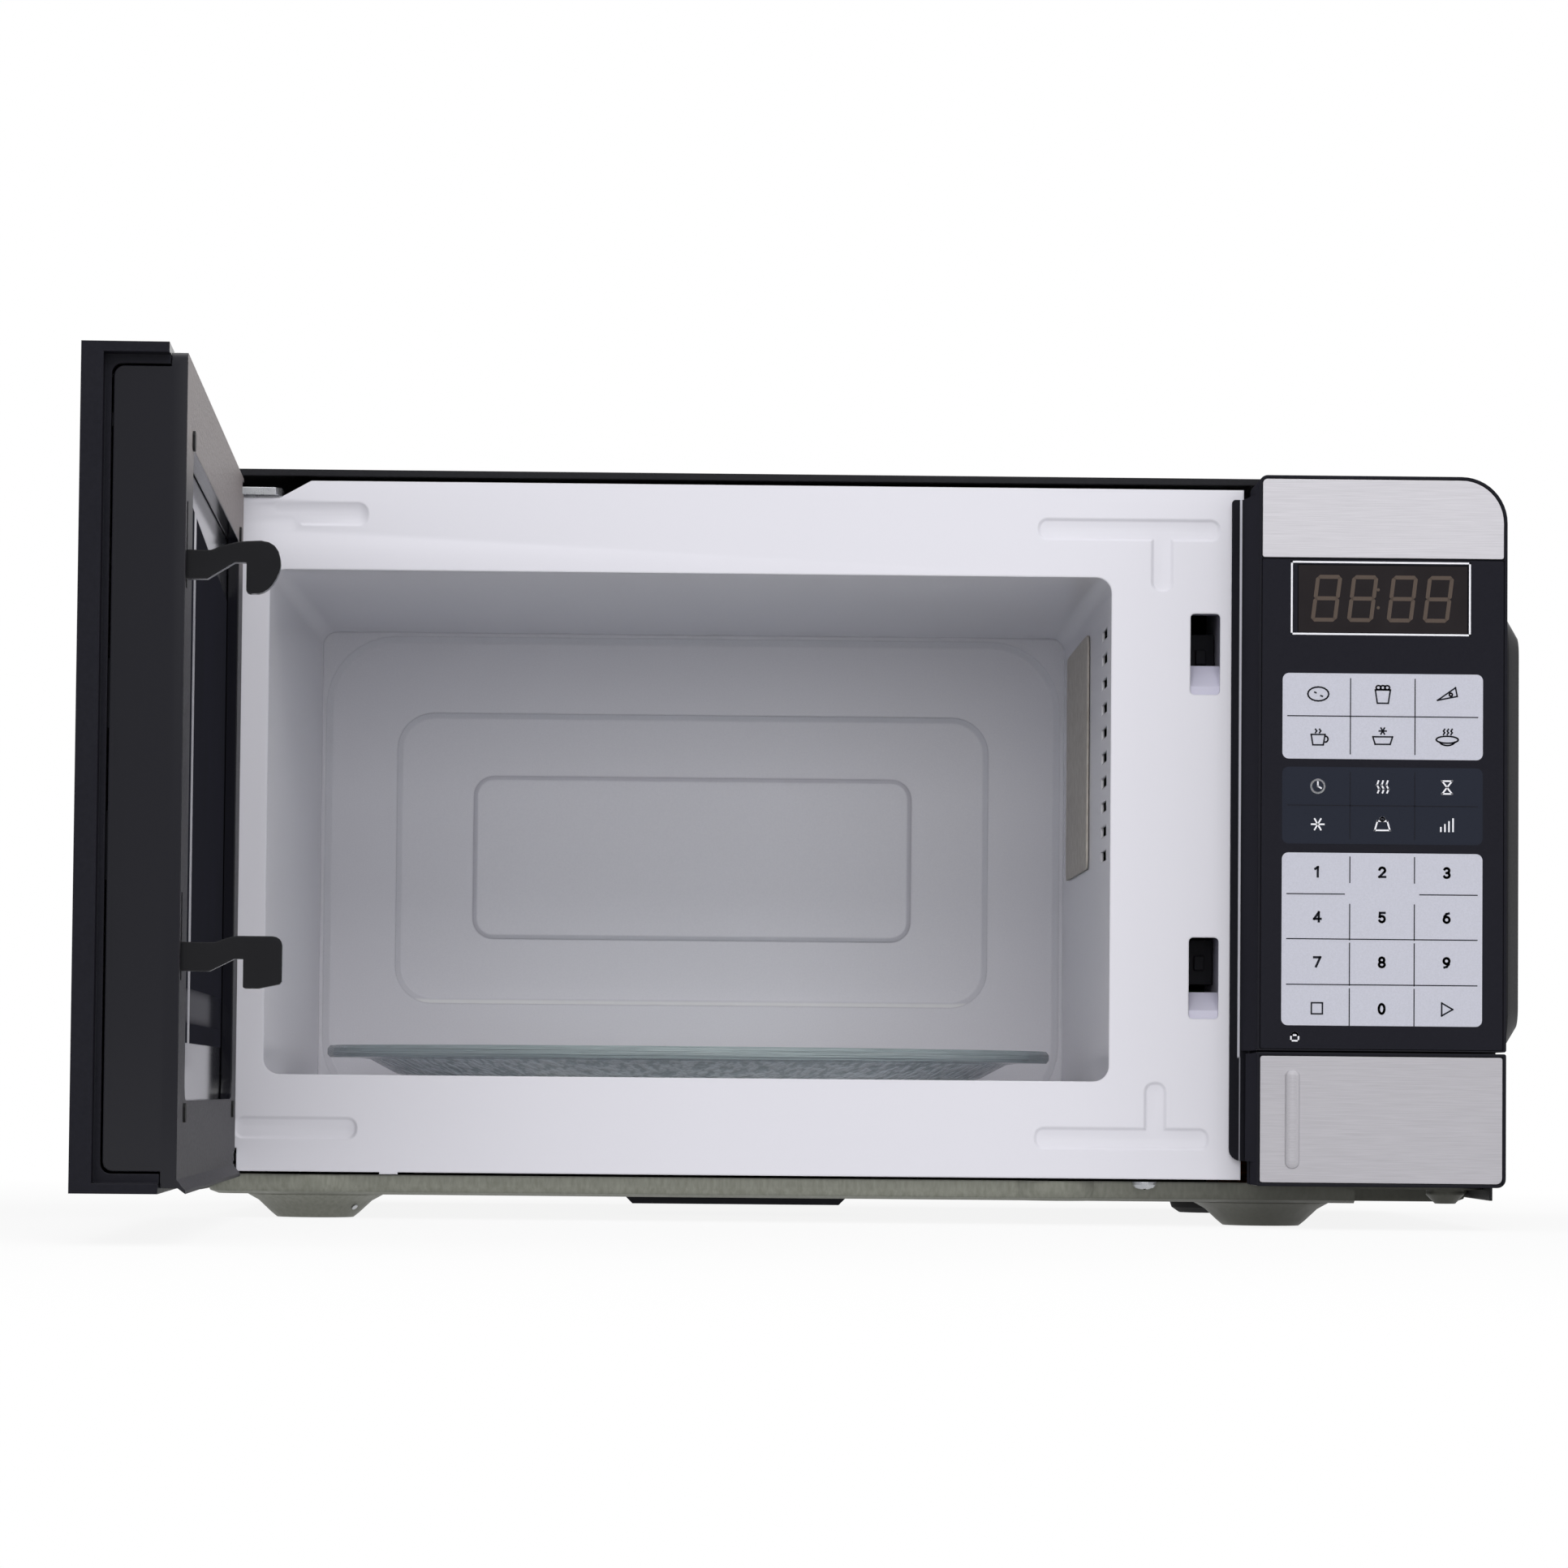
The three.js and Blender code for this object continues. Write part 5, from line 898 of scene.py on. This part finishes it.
# ------------------------------------------------------------------ latch spring
def make_latch_spring():
    """Spring above the latch's bar, a wire coil in place of the CAD spring."""
    low, high = local_box("latch_spring")
    wire = 0.45 * MM  # half its thickness
    radius = (high.x - low.x) / 2 - wire
    x, y = (low.x + high.x) / 2, (low.y + high.y) / 2
    foot, head = low.z + wire, high.z - wire
    turns, steps, sides = 6, 24, 8

    def build(bm):
        rings = []
        count = turns * steps
        slope = (head - foot) / (turns * 2 * math.pi)
        round_wire = [(wire * math.cos(2 * math.pi * k / sides), wire * math.sin(2 * math.pi * k / sides))
                      for k in range(sides)]
        for i in range(count + 1):
            angle = 2 * math.pi * i / steps
            out = Vector((math.cos(angle), math.sin(angle), 0))
            ahead = Vector((-radius * math.sin(angle), radius * math.cos(angle), slope)).normalized()
            up = out.cross(ahead)
            centre = Vector((x, y, foot + (head - foot) * i / count)) + radius * out
            rings.append([centre + u * out + v * up for u, v in round_wire])
        skin(bm, rings)

    spring = object_from("latch_spring_wire", build, BY_SLOT["bright_steel"], None)
    for polygon in spring.data.polygons:
        polygon.use_smooth = True
    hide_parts("latch_spring")
    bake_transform(spring)


make_latch_spring()


# ------------------------------------------------------------------ stage, light and camera
def make_floor():
    """White floor that takes the oven's shadow and glows evenly further out."""
    size = 12.0
    corners = [(-size, -size, 0), (size, -size, 0), (size, size, 0), (-size, size, 0)]
    mesh = bpy.data.meshes.new("floor")
    mesh.from_pydata(corners, [], [(0, 1, 2, 3)])
    floor = bpy.data.objects.new("floor", mesh)
    scene.collection.objects.link(floor)
    material = bpy.data.materials.new("floor_white")
    material.use_nodes = True
    nodes, links = material.node_tree.nodes, material.node_tree.links
    paint = nodes["Principled BSDF"]
    paint.inputs["Base Color"].default_value = (0.9, 0.9, 0.9, 1)
    paint.inputs["Roughness"].default_value = 1.0
    paint.inputs["Specular IOR Level"].default_value = 0.0
    glow = nodes.new("ShaderNodeEmission")
    glow.inputs["Color"].default_value = (1, 1, 1, 1)
    far = nodes.new("ShaderNodeMapRange")
    far.inputs["From Min"].default_value = 0.35
    far.inputs["From Max"].default_value = 0.9
    far.inputs["To Min"].default_value = 0.88
    length = nodes.new("ShaderNodeVectorMath")
    length.operation = "LENGTH"
    place = nodes.new("ShaderNodeTexCoord")
    mix = nodes.new("ShaderNodeMixShader")
    links.new(place.outputs["Object"], length.inputs[0])
    links.new(length.outputs["Value"], far.inputs["Value"])
    links.new(far.outputs["Result"], mix.inputs["Fac"])
    links.new(white_for_camera(nodes, links, 0.5, 0.6)[0], glow.inputs["Strength"])
    links.new(paint.outputs["BSDF"], mix.inputs[1])
    links.new(glow.outputs["Emission"], mix.inputs[2])
    links.new(mix.outputs["Shader"], nodes["Material Output"].inputs["Surface"])
    mesh.materials.append(material)


def white_for_camera(nodes, links, level, mirrored=1.0):
    """Strength 1 for rays from the camera and through glass, set levels for diffuse and mirrored light.

    Returns the strength and the socket of the mirrored level.
    """
    rays = nodes.new("ShaderNodeLightPath")
    straight = nodes.new("ShaderNodeMath")
    straight.operation = "MAXIMUM"
    links.new(rays.outputs["Is Camera Ray"], straight.inputs[0])
    links.new(rays.outputs["Is Transmission Ray"], straight.inputs[1])
    soft = nodes.new("ShaderNodeMapRange")
    soft.inputs["To Min"].default_value = level
    soft.inputs["To Max"].default_value = mirrored
    links.new(rays.outputs["Is Glossy Ray"], soft.inputs["Value"])
    strength = nodes.new("ShaderNodeMapRange")
    strength.inputs["To Max"].default_value = 1.0
    links.new(soft.outputs["Result"], strength.inputs["To Min"])
    links.new(straight.outputs["Value"], strength.inputs["Value"])
    return strength.outputs["Result"], soft.inputs["To Max"]


def make_world():
    """White all round; mirrored rays find it dim near the horizon and bright overhead, as in a studio."""
    world = bpy.data.worlds.new("studio")
    scene.world = world
    world.use_nodes = True
    nodes, links = world.node_tree.nodes, world.node_tree.links
    background = nodes["Background"]
    background.inputs["Color"].default_value = (1, 1, 1, 1)
    direction = nodes.new("ShaderNodeTexCoord")
    parts = nodes.new("ShaderNodeSeparateXYZ")
    overhead = nodes.new("ShaderNodeMapRange")
    overhead.inputs["From Min"].default_value = 0.12
    overhead.inputs["From Max"].default_value = 0.7
    overhead.inputs["To Min"].default_value = 0.35
    overhead.inputs["To Max"].default_value = 1.3
    links.new(direction.outputs["Generated"], parts.inputs["Vector"])
    links.new(parts.outputs["Z"], overhead.inputs["Value"])
    strength, mirrored = white_for_camera(nodes, links, 0.5)
    links.new(overhead.outputs["Result"], mirrored)
    links.new(strength, background.inputs["Strength"])


def softbox(name, place, target, size, power, mirrored=True):
    """Rectangular lamp in watts facing a point; one that is not mirrored shows in no surface."""
    lamp = bpy.data.lights.new(name, "AREA")
    lamp.shape = "RECTANGLE"
    lamp.size, lamp.size_y = size
    lamp.energy = power
    thing = bpy.data.objects.new(name, lamp)
    thing.location = place
    thing.rotation_mode = "QUATERNION"
    thing.rotation_quaternion = (Vector(target) - Vector(place)).to_track_quat("-Z", "Y")
    thing.visible_glossy = mirrored
    scene.collection.objects.link(thing)


def make_lights():
    """Soft light mostly from the front and above, weaker from the sides and behind."""
    middle = (0, 0, 0.13)
    softbox("light_front", (0.0, -3.0, 0.4), middle, (2.6, 1.0), 30, mirrored=False)
    softbox("light_high", (0.1, -2.5, 1.5), middle, (1.8, 0.7), 24, mirrored=False)
    softbox("light_top", (0.2, -0.3, 2.4), middle, (2.0, 1.4), 9)
    softbox("light_right", (2.4, -1.4, 0.9), middle, (1.0, 1.4), 5)
    softbox("light_left", (-2.6, -1.0, 0.9), middle, (1.0, 1.4), 5)
    softbox("light_rear", (0.3, 2.6, 1.1), middle, (1.8, 1.2), 10)


def make_camera():
    """A long lens in front of the oven, just above its base and looking slightly up."""
    yaw, pitch, roll = 0.0110, 0.0520, 0.0092  # radians
    eye = ORIGIN + Vector((10.6, -2055, 46.35)) * MM
    forward = Vector((math.sin(yaw) * math.cos(pitch), math.cos(yaw) * math.cos(pitch), math.sin(pitch)))
    right = Vector((math.cos(yaw), -math.sin(yaw), 0))
    up = right.cross(forward)
    tilted_right = right * math.cos(roll) + up * math.sin(roll)
    tilted_up = up * math.cos(roll) - right * math.sin(roll)
    data = bpy.data.cameras.new("camera")
    data.sensor_width = 36
    data.lens = 134.84
    data.clip_start = 0.05
    data.clip_end = 60
    camera = bpy.data.objects.new("camera", data)
    turn = Matrix((tilted_right, tilted_up, -forward)).transposed().to_4x4()
    camera.matrix_world = Matrix.Translation(eye) @ turn
    scene.collection.objects.link(camera)
    scene.camera = camera


make_floor()
make_world()
make_lights()
make_camera()
